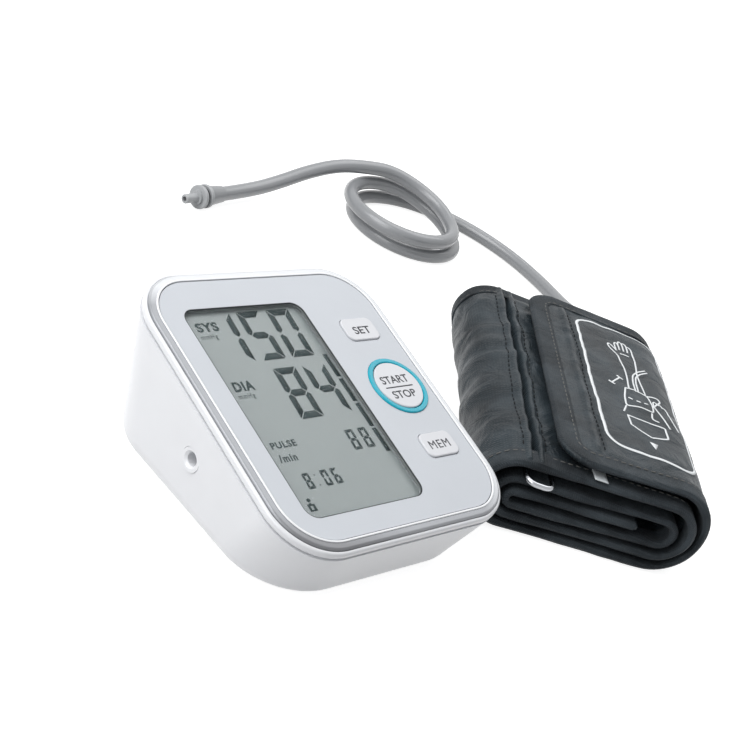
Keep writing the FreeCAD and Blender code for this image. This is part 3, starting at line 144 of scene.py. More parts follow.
print("a closed ring of 3 x 4 points has", len(grid_faces(3, 4, close_columns=True)), "faces")

# %% [markdown]
# Camera
#
# The camera looks down on the console from its left. Its place and turn were worked out
# from the faceplate's four edges and the round key's ellipse, which fixes them better than
# turning it by hand. They are given as three directions: right, down and ahead. Blender's
# camera counts up and backwards, so two of them change sign.

# %% Camera
CAMERA_PLACE = (-344.1, -263.3, 279.6)
CAMERA_RIGHT = (0.68528, -0.62293, 0.37731)
CAMERA_DOWN = (-0.08939, -0.58611, -0.80528)
CAMERA_AHEAD = (0.72278, 0.51811, -0.45733)
LENS, SENSOR_WIDTH = 68.06, 36.0
SIGHT_LIMIT = 20.0

camera_data = bpy.data.cameras.new("camera")
camera_data.lens = LENS
camera_data.sensor_width = SENSOR_WIDTH
camera_data.clip_end = SIGHT_LIMIT
camera = bpy.data.objects.new("camera", camera_data)
bpy.context.scene.collection.objects.link(camera)
axes = Matrix((CAMERA_RIGHT, [-c for c in CAMERA_DOWN], [-c for c in CAMERA_AHEAD])).transposed()
camera.matrix_world = Matrix.Translation([c * MM for c in CAMERA_PLACE]) @ axes.to_4x4()
bpy.context.scene.camera = camera
print("camera lens: %.2f mm" % camera_data.lens)

# %% [markdown]
# Node trees
#
# A finish, or the world behind everything, is a small tree of nodes. A node's inputs hold
# a value or take a wire from another node's output. Trees can be built by hand in the
# shader editor, but a few short helpers make them readable in a script: one sets inputs
# by name, one adds a node, one wires pairs of output and input, and one does sums.

# %% Node helpers
def set_inputs(node, **inputs):
    """Set inputs of a node by name, written with an underscore for each space."""
    for name, value in inputs.items():
        node.inputs[name.replace("_", " ")].default_value = value
    return node


def add_node(tree, kind, **inputs):
    """A new node with some of its inputs set."""
    return set_inputs(tree.nodes.new(kind), **inputs)


def wire(tree, *pairs):
    """Join an output to an input, pair by pair."""
    for output, target in pairs:
        tree.links.new(output, target)


def add_math(tree, kind, operation, *sources):
    """A math or vector math node with one operation, its first inputs wired."""
    node = tree.nodes.new(kind)
    node.operation = operation
    wire(tree, *zip(sources, node.inputs))
    return node


print("node helpers: set_inputs, add_node, wire, add_math")

# %% [markdown]
# Background
#
# A white device stands on white. A world bright enough to look white would wash out the
# walls if it lit them too, so it is white only where it is seen: by the camera, in mirrors
# and through glass. What it sheds on the object stays low.

# %% World
WORLD_LIGHT = 0.34
SKY = (0.96, 0.98, 1.0, 1.0)
WHITE = (1.0, 1.0, 1.0, 1.0)


def mix_shaders(tree, share, first, second):
    """(1 - share) of the first shader plus share of the second."""
    node = tree.nodes.new("ShaderNodeMixShader")
    wire(tree, *zip((share, first, second), node.inputs))
    return node.outputs[0]


def seen_directly(tree):
    """1 for rays from the camera, from mirrors and through glass, else 0: the largest of three."""
    rays = tree.nodes.new("ShaderNodeLightPath").outputs
    either = add_math(tree, "ShaderNodeMath", "MAXIMUM", rays["Is Camera Ray"], rays["Is Glossy Ray"])
    any_of = add_math(tree, "ShaderNodeMath", "MAXIMUM", either.outputs[0], rays["Is Transmission Ray"])
    return any_of.outputs[0]


world = bpy.data.worlds.new("studio")
bpy.context.scene.world = world
world.use_nodes = True
tree = world.node_tree
tree.nodes.clear()
seen = add_node(tree, "ShaderNodeBackground", Color=WHITE, Strength=1.0)
lit = add_node(tree, "ShaderNodeBackground", Color=SKY, Strength=WORLD_LIGHT)
output = tree.nodes.new("ShaderNodeOutputWorld")
wire(tree, (mix_shaders(tree, seen_directly(tree), lit.outputs[0], seen.outputs[0]), output.inputs[0]))
print("world light:", WORLD_LIGHT)

# %% [markdown]
# Floor
#
# The table gives the object its soft shadow, which a background alone can't. To the camera
# it also glows, so that it looks nearly white: a little less so near the object, where the
# shadow has to show, and fully white further out, where it meets the background without
# a line. Seen from below it is clear, so that the underside can be looked at.

# %% Floor
FLOOR_COLOUR = (0.5, 0.5, 0.5, 1.0)
FLOOR_GLOW = 0.86
GLOW_GROWS_FROM, GLOW_FULL_AT = 0.5, 1.4
FLOOR_HALF = 3000.0

floor_finish = bpy.data.materials.new("floor")
floor_finish.use_nodes = True
tree = floor_finish.node_tree
matt = set_inputs(tree.nodes["Principled BSDF"], Base_Color=FLOOR_COLOUR, Roughness=0.9,
                  Specular_IOR_Level=0.0)
place = tree.nodes.new("ShaderNodeTexCoord").outputs["Object"]
away = add_math(tree, "ShaderNodeVectorMath", "LENGTH", place)
strength = add_node(tree, "ShaderNodeMapRange", From_Min=GLOW_GROWS_FROM, From_Max=GLOW_FULL_AT,
                    To_Min=FLOOR_GLOW, To_Max=1.0)
glow = add_node(tree, "ShaderNodeEmission", Color=WHITE)
glowing = tree.nodes.new("ShaderNodeAddShader")
wire(tree, (away.outputs["Value"], strength.inputs["Value"]),
     (strength.outputs["Result"], glow.inputs["Strength"]),
     (matt.outputs[0], glowing.inputs[0]), (glow.outputs[0], glowing.inputs[1]))
from_above = mix_shaders(tree, seen_directly(tree), matt.outputs[0], glowing.outputs[0])
below = tree.nodes.new("ShaderNodeNewGeometry").outputs["Backfacing"]
clear = tree.nodes.new("ShaderNodeBsdfTransparent")
wire(tree, (mix_shaders(tree, below, from_above, clear.outputs[0]), tree.nodes["Material Output"].inputs[0]))

corners = FLOOR_HALF * np.array([(-1, -1, 0), (1, -1, 0), (1, 1, 0), (-1, 1, 0)])
floor = new_piece("floor", corners, [(0, 1, 2, 3)], TABLE, floor_finish, smooth=False)
print("floor: %.0f m wide" % (2 * FLOOR_HALF * MM))

# %% [markdown]
# Lamps
#
# White walls show their shape only by gentle shading, so the lamps are large and soft: a
# key lamp high on the left, a fill lamp low on the left that opens the shadows, and a rim
# lamp behind on the right that parts the cuff from the background.

# %% Lamps
LAMPS = [("key_lamp", (-500, 300, 900), (40, 20, 20), 700, 6.8),
         ("fill_lamp", (-950, 0, 450), (40, 0, 20), 700, 3.7),
         ("rim_lamp", (500, 200, 700), (60, 0, 20), 600, 2.3)]


def lamp(name, place, target, size, power):
    """A square area lamp that faces a point: places and size in millimetres, power in watts."""
    data = bpy.data.lights.new(name, "AREA")
    data.size = size * MM
    data.energy = power
    lamp_object = bpy.data.objects.new(name, data)
    bpy.context.scene.collection.objects.link(lamp_object)
    turn = (Vector(target) - Vector(place)).to_track_quat("-Z", "Y")
    lamp_object.matrix_world = Matrix.Translation(Vector(place) * MM) @ turn.to_matrix().to_4x4()


for name, place, target, size, power in LAMPS:
    lamp(name, place, target, size, power)
    print(name, "of", power, "W")

# %% [markdown]
# Moulded finishes
#
# Nearly all of the device is moulded plastic: even in colour, with a fine grain from the
# mould. Every finish is one Principled shader. Uniform values sit on the shader's own
# sockets. What varies over a surface comes from noise in object coordinates, so that the
# pattern stays put when a piece moves, and needs no unwrapping.

# %% Moulded plastic
CLOUD_SCALE = 60.0
GRAIN_HEIGHT = 0.0001


def srgb(red, green, blue):
    """A colour given as display values 0-255, as the linear values that Blender works in.

    With c as value / 255, dark ones become c / 12.92, and the others (c + 0.055) / 1.055
    to the power of 2.4.
    """
    c = np.array([red, green, blue], float) / 255
    linear = np.where(c <= 0.04045, c / 12.92, ((c + 0.055) / 1.055) ** 2.4)
    return (*linear.tolist(), 1.0)


def mix_colours(tree, **ends):
    """A node that blends colour A into colour B; an end that isn't given is wired later."""
    node = tree.nodes.new("ShaderNodeMix")
    node.data_type = "RGBA"
    return set_inputs(node, **ends)


def plastic(name, colour, roughness, grain=0.25, grain_depth=0.06, mottle=0.03, coat=0.0,
            metallic=0.0, specular=0.5):
    """Moulded plastic: a base colour with faint mottling, and a fine grain in the bump.

    The colour moves by the share `mottle` up and down, and `grain` is a grain's size in
    millimetres.
    """
    material = bpy.data.materials.new(name)
    material.use_nodes = True
    tree = material.node_tree
    shader = set_inputs(tree.nodes["Principled BSDF"], Roughness=roughness, Metallic=metallic,
                        Specular_IOR_Level=specular, Coat_Weight=coat, Coat_Roughness=0.08)
    place = tree.nodes.new("ShaderNodeTexCoord").outputs["Object"]
    cloud = add_node(tree, "ShaderNodeTexNoise", Scale=CLOUD_SCALE, Detail=3.0)
    shade = mix_colours(tree, A=[c * (1 - mottle) for c in colour[:3]] + [1],
                        B=[min(1, c * (1 + mottle)) for c in colour[:3]] + [1])
    fine = add_node(tree, "ShaderNodeTexNoise", Scale=1000.0 / grain, Detail=2.0)
    bump = add_node(tree, "ShaderNodeBump", Strength=grain_depth, Distance=GRAIN_HEIGHT)
    wire(tree, (place, cloud.inputs["Vector"]), (place, fine.inputs["Vector"]),
         (cloud.outputs["Fac"], shade.inputs["Factor"]),
         (shade.outputs["Result"], shader.inputs["Base Color"]),
         (fine.outputs["Fac"], bump.inputs["Height"]), (bump.outputs["Normal"], shader.inputs["Normal"]))
    return material


print("middle grey is %.3f in linear light" % srgb(128, 128, 128)[0])

# %% [markdown]
# Silver band
#
# The band round the faceplate is plastic with a thin metallic coat, and its narrow inner lip is painted near
# white: a painted highlight along that edge. Such a coat mirrors what stands round it: something dark at the
# front corner, and a bright room at the far side and on the right. A mirror finish would need that room to be
# modelled, so these reflections are painted into the band's colour along the panel's directions: each is a
# blend that starts at one distance along a direction and is complete at another.

# %% Silver band
# Painted reflections: a dark one at the front corner, bright ones at the far side and on the right.
PAINTED_BAND_REFLECTIONS = [((-0.35, -0.94, 0), 3.0, 14.0, srgb(124, 125, 128)),
              ((0, 1, 0), 101.0, 109.0, srgb(204, 206, 209)),
              ((1, 0, 0), 36.0, 51.0, srgb(200, 202, 205))]
LIP_HIGHLIGHT_FROM, LIP_HIGHLIGHT_TO = 0.02, 0.12


def blend_along(material, low, high, colour, metallic=None, way=(0, 0, 1)):
    """Blend a finish into another colour between two distances along one of the panel's ways.

    A point's distance is the dot product of its place with the way, counted from the
    panel's front edge. The way is the panel's upward one if none is given.
    """
    tree = material.node_tree
    shader = tree.nodes["Principled BSDF"]
    before = shader.inputs["Base Color"].links[0].from_socket
    place = tree.nodes.new("ShaderNodeTexCoord").outputs["Object"]
    distance = add_math(tree, "ShaderNodeVectorMath", "DOT_PRODUCT", place)
    ahead = PANEL.to_3x3().normalized() @ Vector(way)
    distance.inputs[1].default_value = ahead
    foot = ahead.dot(PANEL.translation)
    share = add_node(tree, "ShaderNodeMapRange", From_Min=foot + low * MM, From_Max=foot + high * MM)
    blend = mix_colours(tree, B=colour)
    wire(tree, (distance.outputs["Value"], share.inputs["Value"]),
         (share.outputs["Result"], blend.inputs["Factor"]), (before, blend.inputs["A"]),
         (blend.outputs["Result"], shader.inputs["Base Color"]))
    if metallic is not None:
        metal = add_node(tree, "ShaderNodeMapRange", To_Min=shader.inputs["Metallic"].default_value,
                         To_Max=metallic)
        wire(tree, (share.outputs["Result"], metal.inputs["Value"]),
             (metal.outputs["Result"], shader.inputs["Metallic"]))
    return material


silver = plastic("silver_trim", srgb(153, 155, 159), 0.38, metallic=0.3, grain_depth=0.02, specular=0.3)
for way, low, high, tone in PAINTED_BAND_REFLECTIONS:
    blend_along(silver, low, high, tone, way=way)
# The lip's near white is a painted highlight along the band's inner edge.
blend_along(silver, LIP_HIGHLIGHT_FROM, LIP_HIGHLIGHT_TO, srgb(246, 247, 249), metallic=0.0)
print("silver band:", len(PAINTED_BAND_REFLECTIONS), "tones and a white lip")

# %% [markdown]
# Finishes of the rigid pieces
#
# The faceplate is painted in a satin blue-grey, the case and keys are white, and the ring
# round the start key is teal. Inside are lacquered board, rubber, steel and plain plastic.
# Image textures could carry all this, but plain moulded parts need only a colour, a
# roughness and a grain, so each finish is one call with its own few values.

# %% Finishes
FINISHES = {
    "faceplate": plastic("panel_satin", srgb(195, 199, 205), 0.42, grain=0.3, grain_depth=0.10),
    "case_white": plastic("case_white", srgb(232, 233, 236), 0.30, coat=0.25),
    "trim": silver,
    "key": plastic("key_cap", srgb(212, 213, 217), 0.38, grain=0.35, grain_depth=0.12),
    "ring": plastic("teal_ring", srgb(14, 166, 187), 0.22, specular=0.3),
    "display": plastic("display_film", srgb(137, 144, 144), 0.35, mottle=0.02, specular=0.2),
    "rubber_black": plastic("black_rubber", srgb(28, 28, 30), 0.7),
    "rubber_grey": plastic("grey_rubber", srgb(150, 151, 153), 0.6),
    # The foam frame is painted lighter than such foam is: painted light that lifts the shade in the gap under
    # the window's edge.
    "foam": plastic("foam_frame_painted_light", srgb(164, 169, 171), 0.8, specular=0.1),
    "inner": plastic("inner_plastic", srgb(222, 220, 214), 0.5),
    "board": plastic("board_lacquer", srgb(28, 104, 66), 0.35, coat=0.4),
    "chip": plastic("chip_black", srgb(32, 32, 35), 0.45),
    "steel": plastic("bright_steel", srgb(190, 190, 192), 0.3, metallic=1.0, grain_depth=0.05),
    "cell": plastic("cell_jacket", srgb(64, 68, 76), 0.3, coat=0.3),
    "hook": plastic("hook_fabric", srgb(38, 41, 44), 0.9, grain=0.9, grain_depth=0.9),
    "bladder": plastic("bladder_film", srgb(120, 124, 128), 0.5),
    "chrome": plastic("chrome_wire", srgb(168, 170, 174), 0.16, metallic=1.0, grain_depth=0.01),
    "tube": plastic("air_tube_skin", srgb(138, 140, 143), 0.36, grain=0.6, coat=0.4, specular=0.7),
    "plug": plastic("plug_plastic", srgb(172, 174, 176), 0.36, grain=0.4, grain_depth=0.12),
}
print("finishes:", len(FINISHES))

# %% [markdown]
# Painting the rigid pieces
#
# Each CAD piece comes with a plain finish. A table says which one it wears instead: many
# pieces come out of the same mould or the same sheet, so they share one. One short loop
# then paints them all.

# %% Painting
NODES_BY_FINISH = {
    "faceplate": ["faceplate"],
    "trim": ["trim_band"],
    "case_white": ["upper_case", "lower_case", "battery_door", "air_socket"],
    "foam": ["display_gasket"],
    "display": ["display_glass"],
    "inner": ["display_holder", "pump_head", "air_block"],
    "rubber_grey": ["contact_strips", "key_mat", "rubber_feet", "inner_hoses"],
    "board": ["circuit_board"],
    "steel": ["board_screws", "capacitors", "case_screws", "battery_contacts", "battery_springs",
              "pump_motor", "release_valve"],
    "chip": ["controller_chip", "beeper", "pressure_sensor"],
    "key": ["set_button", "memory_button", "start_stop_button"],
    "ring": ["start_ring"],
    "cell": ["batteries"],
    "rubber_black": ["motor_sleeve"],
    "bladder": ["cuff_bladder"],
    "hook": ["hook_pad", "cuff_band", "tube_spout"],
    "chrome": ["cuff_ring"],
    "tube": ["plug_collar", "air_tube"],
    "plug": ["tube_plug"],
}


def paint(node, finish):
    """Give one CAD node a finish in place of the one it came with."""
    mesh = nodes[node].data
    mesh.materials.clear()
    mesh.materials.append(finish)


for finish, painted in NODES_BY_FINISH.items():
    for node in painted:
        paint(node, FINISHES[finish])
print("painted:", sum(len(painted) for painted in NODES_BY_FINISH.values()), "nodes")

# %% [markdown]
# Window
#
# The window is a clear sheet set a little below the faceplate. Full glass would bend the
# light twice and leave specks on the display behind it. This one has an index close to
# that of air, and is mostly see-through, so the display stays crisp.

# %% Window
window_finish = bpy.data.materials.new("clear_window")
window_finish.use_nodes = True
set_inputs(window_finish.node_tree.nodes["Principled BSDF"], Base_Color=(0.97, 0.98, 0.98, 1), Roughness=0.04,
           Transmission_Weight=1.0, IOR=1.08, Alpha=0.2)
paint("display_lens", window_finish)
print("window: index 1.08")

# %% [markdown]
# Route of the air tube
#
# The tube is one length of soft hose. It leaves the cuff's end, runs back over the table, makes two loose
# turns, one resting on the other, and ends in a plug. Its route is a line of control points. The stretches
# from the cuff and to the plug follow no rule, so they are given one by one. The turns are worked out, twelve
# points to each.

# %% Tube route
TUBE_RADIUS = 3.6
TUBE_EXIT = (222.87, 23.99, 18.2)
FROM_CUFF = [(238.3, 41.1, 18.2), (253.5, 60.0, 11.0), (265.5, 82.0, 5.0), (273.5, 106.5, 4.0),
             (275.5, 132.0, 4.0), (270.5, 157.0, 4.0), (258.5, 178.5, 4.0), (241.5, 192.0, 4.0)]
TO_PLUG = [(191.0, 199.0, 20.5), (172.5, 200.5, 15.5), (154.0, 200.0, 9.2), (134.0, 197.5, 6.0),
           (112.0, 193.6, 6.0)]
TURN_MIDDLE, TURN_RADIUS = (221.0, 165.0, 4.0), 31.0
TURN_DRIFT, TURN_RISE = 12.0, 8.8


def turn_points():
    """Two turns of radius 31 whose middle drifts 12 mm; each rises 8.8 mm over the one below.

    Point i sits at an angle of 90 + 30 i degrees. The height climbs over three points
    from the eighth and again from the twentieth.
    """
    i = np.arange(25)
    angle = np.radians(90.0 + 30.0 * i)
    climb = np.clip((i - 8) / 3, 0, 1) + np.clip((i - 20) / 3, 0, 1)
    x, y, z = TURN_MIDDLE
    return np.stack([x - TURN_DRIFT * i / 24 + TURN_RADIUS * np.cos(angle),
                     y + TURN_RADIUS * np.sin(angle), z + TURN_RISE * climb], 1)


route = np.concatenate([[TUBE_EXIT], FROM_CUFF, turn_points(), TO_PLUG]) * MM
print("tube route:", len(route), "control points")

# %% [markdown]
# Air tube
#
# A hose bends in one smooth line and stays round. A NURBS curve does the same: it is drawn towards its
# control points without a kink, and its bevel gives it a round wall.

# %% Air tube
tube_curve = bpy.data.curves.new("air_tube_cord", "CURVE")
tube_curve.dimensions = "3D"
line = tube_curve.splines.new("NURBS")
line.points.add(len(route) - 1)
line.points.foreach_set("co", np.column_stack([route, np.ones(len(route))]).ravel())
line.order_u = 3
line.use_endpoint_u = True
tube_curve.resolution_u = 8
tube_curve.bevel_depth = TUBE_RADIUS * MM
tube_curve.bevel_resolution = 7
tube_curve.use_fill_caps = True
tube_curve.materials.append(FINISHES["tube"])
air_cord = bpy.data.objects.new("air_tube_cord", tube_curve)
bpy.context.scene.collection.objects.link(air_cord)
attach(air_cord, "cuff")
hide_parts("air_tube")
print("air tube: %.1f mm thick" % (2 * TUBE_RADIUS))

# %% [markdown]
# The plug's grooves, filled with painted shade
#
# A finger finds hold on the plug because it has two ribs with a deep groove between them.
# The shade deep in the groove is painted: a dark ring fills it. It is a ring round the plug's axis, which
# runs along the tube's last stretch: a rectangle carried round in 48 steps.

# %% Plug grooves
RING_STEPS = 48
GROOVE_SHADE_RINGS = [(10.05, 10.45, 3.3, 4.9), (12.55, 14.65, 3.3, 4.4)]
plug_way = (route[-1] - route[-2]) / np.linalg.norm(route[-1] - route[-2])
plug_side = np.array([-plug_way[1], plug_way[0], 0.0])
turn = np.radians(np.arange(RING_STEPS) * 360.0 / RING_STEPS)
spoke = np.cos(turn)[:, None] * plug_side + np.sin(turn)[:, None] * np.array([0.0, 0.0, 1.0])


def collar_ring(low, high, inner, outer):
    """A ring about the plug's axis, between two distances past the tube's end.

    A point is the tube's end, plus the axis times its distance, plus a spoke times its
    radius; the four corners of the rectangle are one such point each.
    """
    corners = [(low, inner), (low, outer), (high, outer), (high, inner)]
    points = np.stack([route[-1] / MM + plug_way * along + spoke * radius for along, radius in corners], 1)
    return points.reshape(-1, 3), grid_faces(RING_STEPS, 4, close_rows=True, close_columns=True)


def joined_strips(name, strips, finish, place):
    """One mesh of several strips, each with its own points and faces.

    A face's point numbers grow by the number of points in the strips before it.
    """
    points, faces, start = [], [], 0
    for strip_points, strip_faces in strips:
        points.append(strip_points)
        faces += [[start + k for k in face] for face in strip_faces]
        start += len(strip_points)
    return face_out(new_piece(name, np.concatenate(points), faces, place, finish))


# Painted shade: a dark ring fills each groove where shade falls.
groove_painted_shade = plastic("groove_painted_shade", srgb(62, 63, 66), 0.6, specular=0.2)
plug_groove_shade = joined_strips("plug_groove_shade", [collar_ring(*groove) for groove in GROOVE_SHADE_RINGS],
                             groove_painted_shade, TABLE)
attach(plug_groove_shade, "cuff")
print("plug grooves:", len(plug_groove_shade.data.polygons), "faces")

# %% [markdown]
# The folded band
#
# The cuff is one long padded band, wound up for storage like a flat roll. Seen from its
# end the band's middle line is a row of straight runs joined by half circles. A point of
# the band is found from two distances: s along the band from the flap's edge, and v along
# the folds. The cloth's surface then lies half a thickness to either side.

# %% Middle line of the band
RIGHT_FOLD, LEFT_FOLD = 30.0, -33.2
FLAP_EDGE, BAND_END = -22.0, 20.0
TOPS = (37.6, 31.2, 23.6, 18.4)
BOTTOMS = (2.4, 7.6, 12.8)
RUN, RIGHT_TURN, LEFT_TURN = 0, 1, 2


def winding():
    """Rows (length, kind, x, z, way), from the flap's edge to the band's end.

    A run starts at x, z and goes one way (+1 or -1). A turn is a half circle of radius
    `way` about x, z, so its length is pi times that radius.
    """
    rows = [(RIGHT_FOLD - FLAP_EDGE, RUN, FLAP_EDGE, TOPS[0], 1)]
    for turn in range(3):
        top, low, after = TOPS[turn], BOTTOMS[turn], TOPS[turn + 1]
        end = RIGHT_FOLD if turn < 2 else BAND_END
        rows.append((math.pi * (top - low) / 2, RIGHT_TURN, RIGHT_FOLD, (top + low) / 2, (top - low) / 2))
        rows.append((RIGHT_FOLD - LEFT_FOLD, RUN, RIGHT_FOLD, low, -1))
        rows.append((math.pi * (after - low) / 2, LEFT_TURN, LEFT_FOLD, (after + low) / 2, (after - low) / 2))
        rows.append((end - LEFT_FOLD, RUN, LEFT_FOLD, after, 1))
    return np.array(rows)


WINDING = winding()
STARTS = np.concatenate([[0.0], np.cumsum(WINDING[:, 0])])
BAND_LENGTH = float(STARTS[-1])
SECOND_TOP = float(STARTS[4])


def walk(s):
    """Middle line at distance s: its x and z, and the outward normal's x and z.

    On a run the point moves straight and the normal points away from the roll's core.
    On a turn of radius R the angle falls by distance / R, from 90 or from -90 degrees.
    """
    s = np.clip(np.asarray(s, float), 0, BAND_LENGTH - 1e-6)
    row = np.searchsorted(STARTS, s, side="right") - 1
    along = s - STARTS[row]
    _, kind, x, z, way = np.moveaxis(WINDING[row], -1, 0)
    angle = np.where(kind == RIGHT_TURN, math.pi / 2, -math.pi / 2) - along / np.abs(way)
    flat = kind == RUN
    px = np.where(flat, x + way * along, x + way * np.cos(angle))
    pz = np.where(flat, z, z + way * np.sin(angle))
    nx = np.where(flat, 0.0, np.cos(angle))
    nz = np.where(flat, way, np.sin(angle))
    return px, pz, nx, nz


print("band length: %.1f mm" % BAND_LENGTH)

# %% [markdown]
# Soft noise
#
# Cloth is never even. Its unevenness could be sculpted, but a formula can be read, moved
# and repeated. Here it is soft noise: random heights on a coarse grid, blended smoothly
# between neighbours, so that stretching the grid gives long folds or short puckers.

# %% Soft noise
LATTICE_SIZE = 64
rng = np.random.default_rng(7)
LATTICE = rng.uniform(-1, 1, (6, LATTICE_SIZE, LATTICE_SIZE))


def smooth(t):
    """0 below 0, 1 above 1, and 3 t^2 - 2 t^3 between."""
    t = np.clip(t, 0, 1)
    return t * t * (3 - 2 * t)


def hump(x, at, wide):
    """A rounded ridge of height 1: one over 1 plus the fourth power of distance / width."""
    return 1 / (1 + ((x - at) / wide) ** 4)


def ripple(a, b, layer):
    """Soft noise at (a, b): the four corners round a point, weighted by nearness.

    With u and w as the smoothed fractions of a and b, the value is (1 - u) times the
    left pair plus u times the right pair, and each pair is blended the same way by w.
    """
    i, j = np.floor(a).astype(int), np.floor(b).astype(int)
    u, w = smooth(a - i), smooth(b - j)
    i0, i1, j0, j1 = (k % LATTICE_SIZE for k in (i, i + 1, j, j + 1))
    grid = LATTICE[layer]
    return ((1 - u) * ((1 - w) * grid[i0, j0] + w * grid[i0, j1])
            + u * ((1 - w) * grid[i1, j0] + w * grid[i1, j1]))


print("noise layers:", len(LATTICE))

# %% [markdown]
# The band's outline
#
# The band is as wide as an arm's cuff is long. Its edges are nearly straight, and the
# flap's two corners are quarter circles. How deep a point lies inside this outline says
# which part of the cuff it belongs to: the taped edge, the puckers beside it, or the full
# middle.

# %% Outline
FLAP_CORNER = 14.0
HALF_WIDTH, TAPER = 72.5, 0.08
FLAP_CUT_BACK = 3.0


def half_long(s):
    """Half of the band's width at s.

    It is 72.5 mm less 0.08 mm for each millimetre to the right. The outer flap is cut
    3 mm shorter at each end than the layers below it, and two slow waves make it uneven.
    """
    cut_back = FLAP_CUT_BACK * (1 - smooth((s - 55) / 70))
    uneven = 0.5 * np.sin(s / 41) + 0.7 * smooth(s / 60) * ripple(s / 27, 0 * s + 0.3, 5)
    return HALF_WIDTH - TAPER * walk(s)[0] - cut_back + uneven


def edge_of(s):
    """Where the band's long edge lies at s; near the flap's edge it follows its corner.

    There it falls short by the radius less the root of (radius squared - distance squared).
    """
    inward = np.clip(FLAP_CORNER - s, 0, FLAP_CORNER)
    return half_long(s) - (FLAP_CORNER - np.sqrt(FLAP_CORNER ** 2 - inward ** 2))


def depth_from_edge(s, v):
    """How far a point lies inside the outline.

    It is the lesser of the distances to the flap's edge and to the side. In a corner's
    square it is the corner's radius less the distance from the corner's middle.
    """
    corner_s = FLAP_CORNER - s
    corner_v = np.abs(v) - (half_long(s) - FLAP_CORNER)
    rounded = FLAP_CORNER - np.hypot(np.maximum(corner_s, 0), np.maximum(corner_v, 0))
    nearest = np.minimum(s, half_long(s) - np.abs(v))
    return np.maximum(np.where((corner_s > 0) & (corner_v > 0), rounded, nearest), 0)


print("flap width: %.1f mm" % (2 * half_long(np.array([FLAP_CORNER]))[0]))

# %% [markdown]
# Padding
#
# The band is full between its seams and thin at its bound edges. A cushion like this could
# be blown up by a cloth simulation, but that would not keep to the band's winding. Here
# its half thickness is a formula of the depth from the edge, and a point of the surface
# is found by going that far out from the middle line.

# %% Padding
LAYER_HALF = 2.4
PADDING_EDGE, PADDING_FULL = 1.15, LAYER_HALF - 0.3
EDGE_ROUNDING = 0.9
TABLE_GAP = 0.02


def padding(deep):
    """Half of the thickness inside the rounded edge: 1.15 mm up to 5 mm in, 2.1 mm from 21."""
    return PADDING_EDGE + (PADDING_FULL - PADDING_EDGE) * smooth((deep - 5) / 16)


def rounding(deep):
    """The edge's profile: a quarter circle from 0 at the outline to 1 at 0.9 mm in."""
    return np.sqrt(1 - (1 - np.clip(deep / EDGE_ROUNDING, 0, 1)) ** 2)


def fullness(s, v):
    """Half of the thickness: the edge's rounding times the padding at that depth."""
    deep = depth_from_edge(s, v)
    return rounding(deep) * padding(deep)


def on_band(s, v, out):
    """The point `out` millimetres outside the middle line, at s along and v across.

    It is the middle line's point plus `out` times the normal, kept just above the table.
    """
    px, pz, nx, nz = walk(s)
    out = np.asarray(out, float)
    return np.stack(np.broadcast_arrays(px + out * nx, v, np.maximum(pz + out * nz, TABLE_GAP)), -1)


print("padding: %.2f mm at the edge, %.2f mm inside" % (2 * PADDING_EDGE, 2 * PADDING_FULL))

# %% [markdown]
# Puckers and creases
#
# The cover puckers where thread pulls it in, and creases a little everywhere. A bump in
# the finish would look flat at the outline, so these are real hills of the surface. Each
# kind is noise stretched its own way, and fades out where the real one does.

# %% Puckers and creases
TAPE_WIDE = 8.6
RIDGE_AT, SEAM_AT = 15.5, 18.5
SLIT_AT = SECOND_TOP + (-31.0 - LEFT_FOLD)


def lift(s, v):
    """The outer surface's small hills: every part is a height in millimetres times noise.

    Puckers die away inwards from the tape, and drawn cloth dies away from the slit and
    from the seam. A raised ridge and a seam run beside the flap's edge. The slit, where
    the band passes the wire ring, is a groove between two lips.
    """
    deep = depth_from_edge(s, v)
    inside = smooth((deep - TAPE_WIDE) / 3)
    near = np.exp(-np.maximum(deep - TAPE_WIDE, 0) / 11) * smooth((deep - TAPE_WIDE) / 2)
    pucker = near * (0.75 * ripple(s / 5.2, v / 26, 0) * ripple(s / 19, v / 30 + 5, 1)
                     + 0.55 * ripple(s / 26, v / 5.0, 2))
    crease = 0.55 * ripple(s / 14 + v / 40, v / 23 - s / 60, 3) + 0.22 * ripple(s / 5, v / 7, 4)
    by_slit = np.exp(-np.abs(s - SLIT_AT) / 26) * (0.7 + 0.5 * ripple(v / 24, s / 40, 0))
    by_seam = np.exp(-np.abs(s - SEAM_AT) / 7)
    drawn = (2.0 * by_slit * ripple(s / 34, v / 6.5, 3)
             + 0.5 * by_seam * ripple(s / 24 + 9, v / 4.6, 1)
             + 0.7 * smooth((s - 60) / 40) * ripple(s / 9 - v / 30, v / 12 + s / 30, 1))
    ridge = 1.45 * hump(s, RIDGE_AT, 1.5) * inside * (0.8 + 0.3 * ripple(v / 17, s / 9, 5))
    seam = -0.75 * hump(s, SEAM_AT, 0.9) * inside
    lips = 1.5 * hump(s, SLIT_AT - 2.3, 1.3) + 1.3 * hump(s, SLIT_AT + 2.3, 1.3)
    slit = (lips - 4.2 * hump(s, SLIT_AT, 0.85)) * smooth((deep - 0.5) / 2)
    return (pucker + crease + drawn) * smooth((deep - 2) / 9) + ridge + seam + slit


def on_cloth(s, v, above):
    """A point above the outer surface: half the thickness, the lift and `above` further out."""
    return on_band(s, v, fullness(s, v) + lift(s, v) + above)


along_flap = np.linspace(-40, 40, 9)
print("lift along the flap's ridge:", np.round(lift(np.full(9, RIDGE_AT), along_flap), 1))

# %% [markdown]
# Cloth finish
#
# The cover is woven nylon: dark slate, with a soft shine along every fold. Two sets of
# fine waves across each other make the weave, larger noise makes the crinkle, and a
# little sheen stands for the loose fibres. The pattern reads the band's own map, whose
# two values are the distances s and v, so the threads follow the cloth round its folds.

# %% Cloth finish
WEAVE_HEIGHT, CRINKLE_HEIGHT = 0.0002, 0.0024


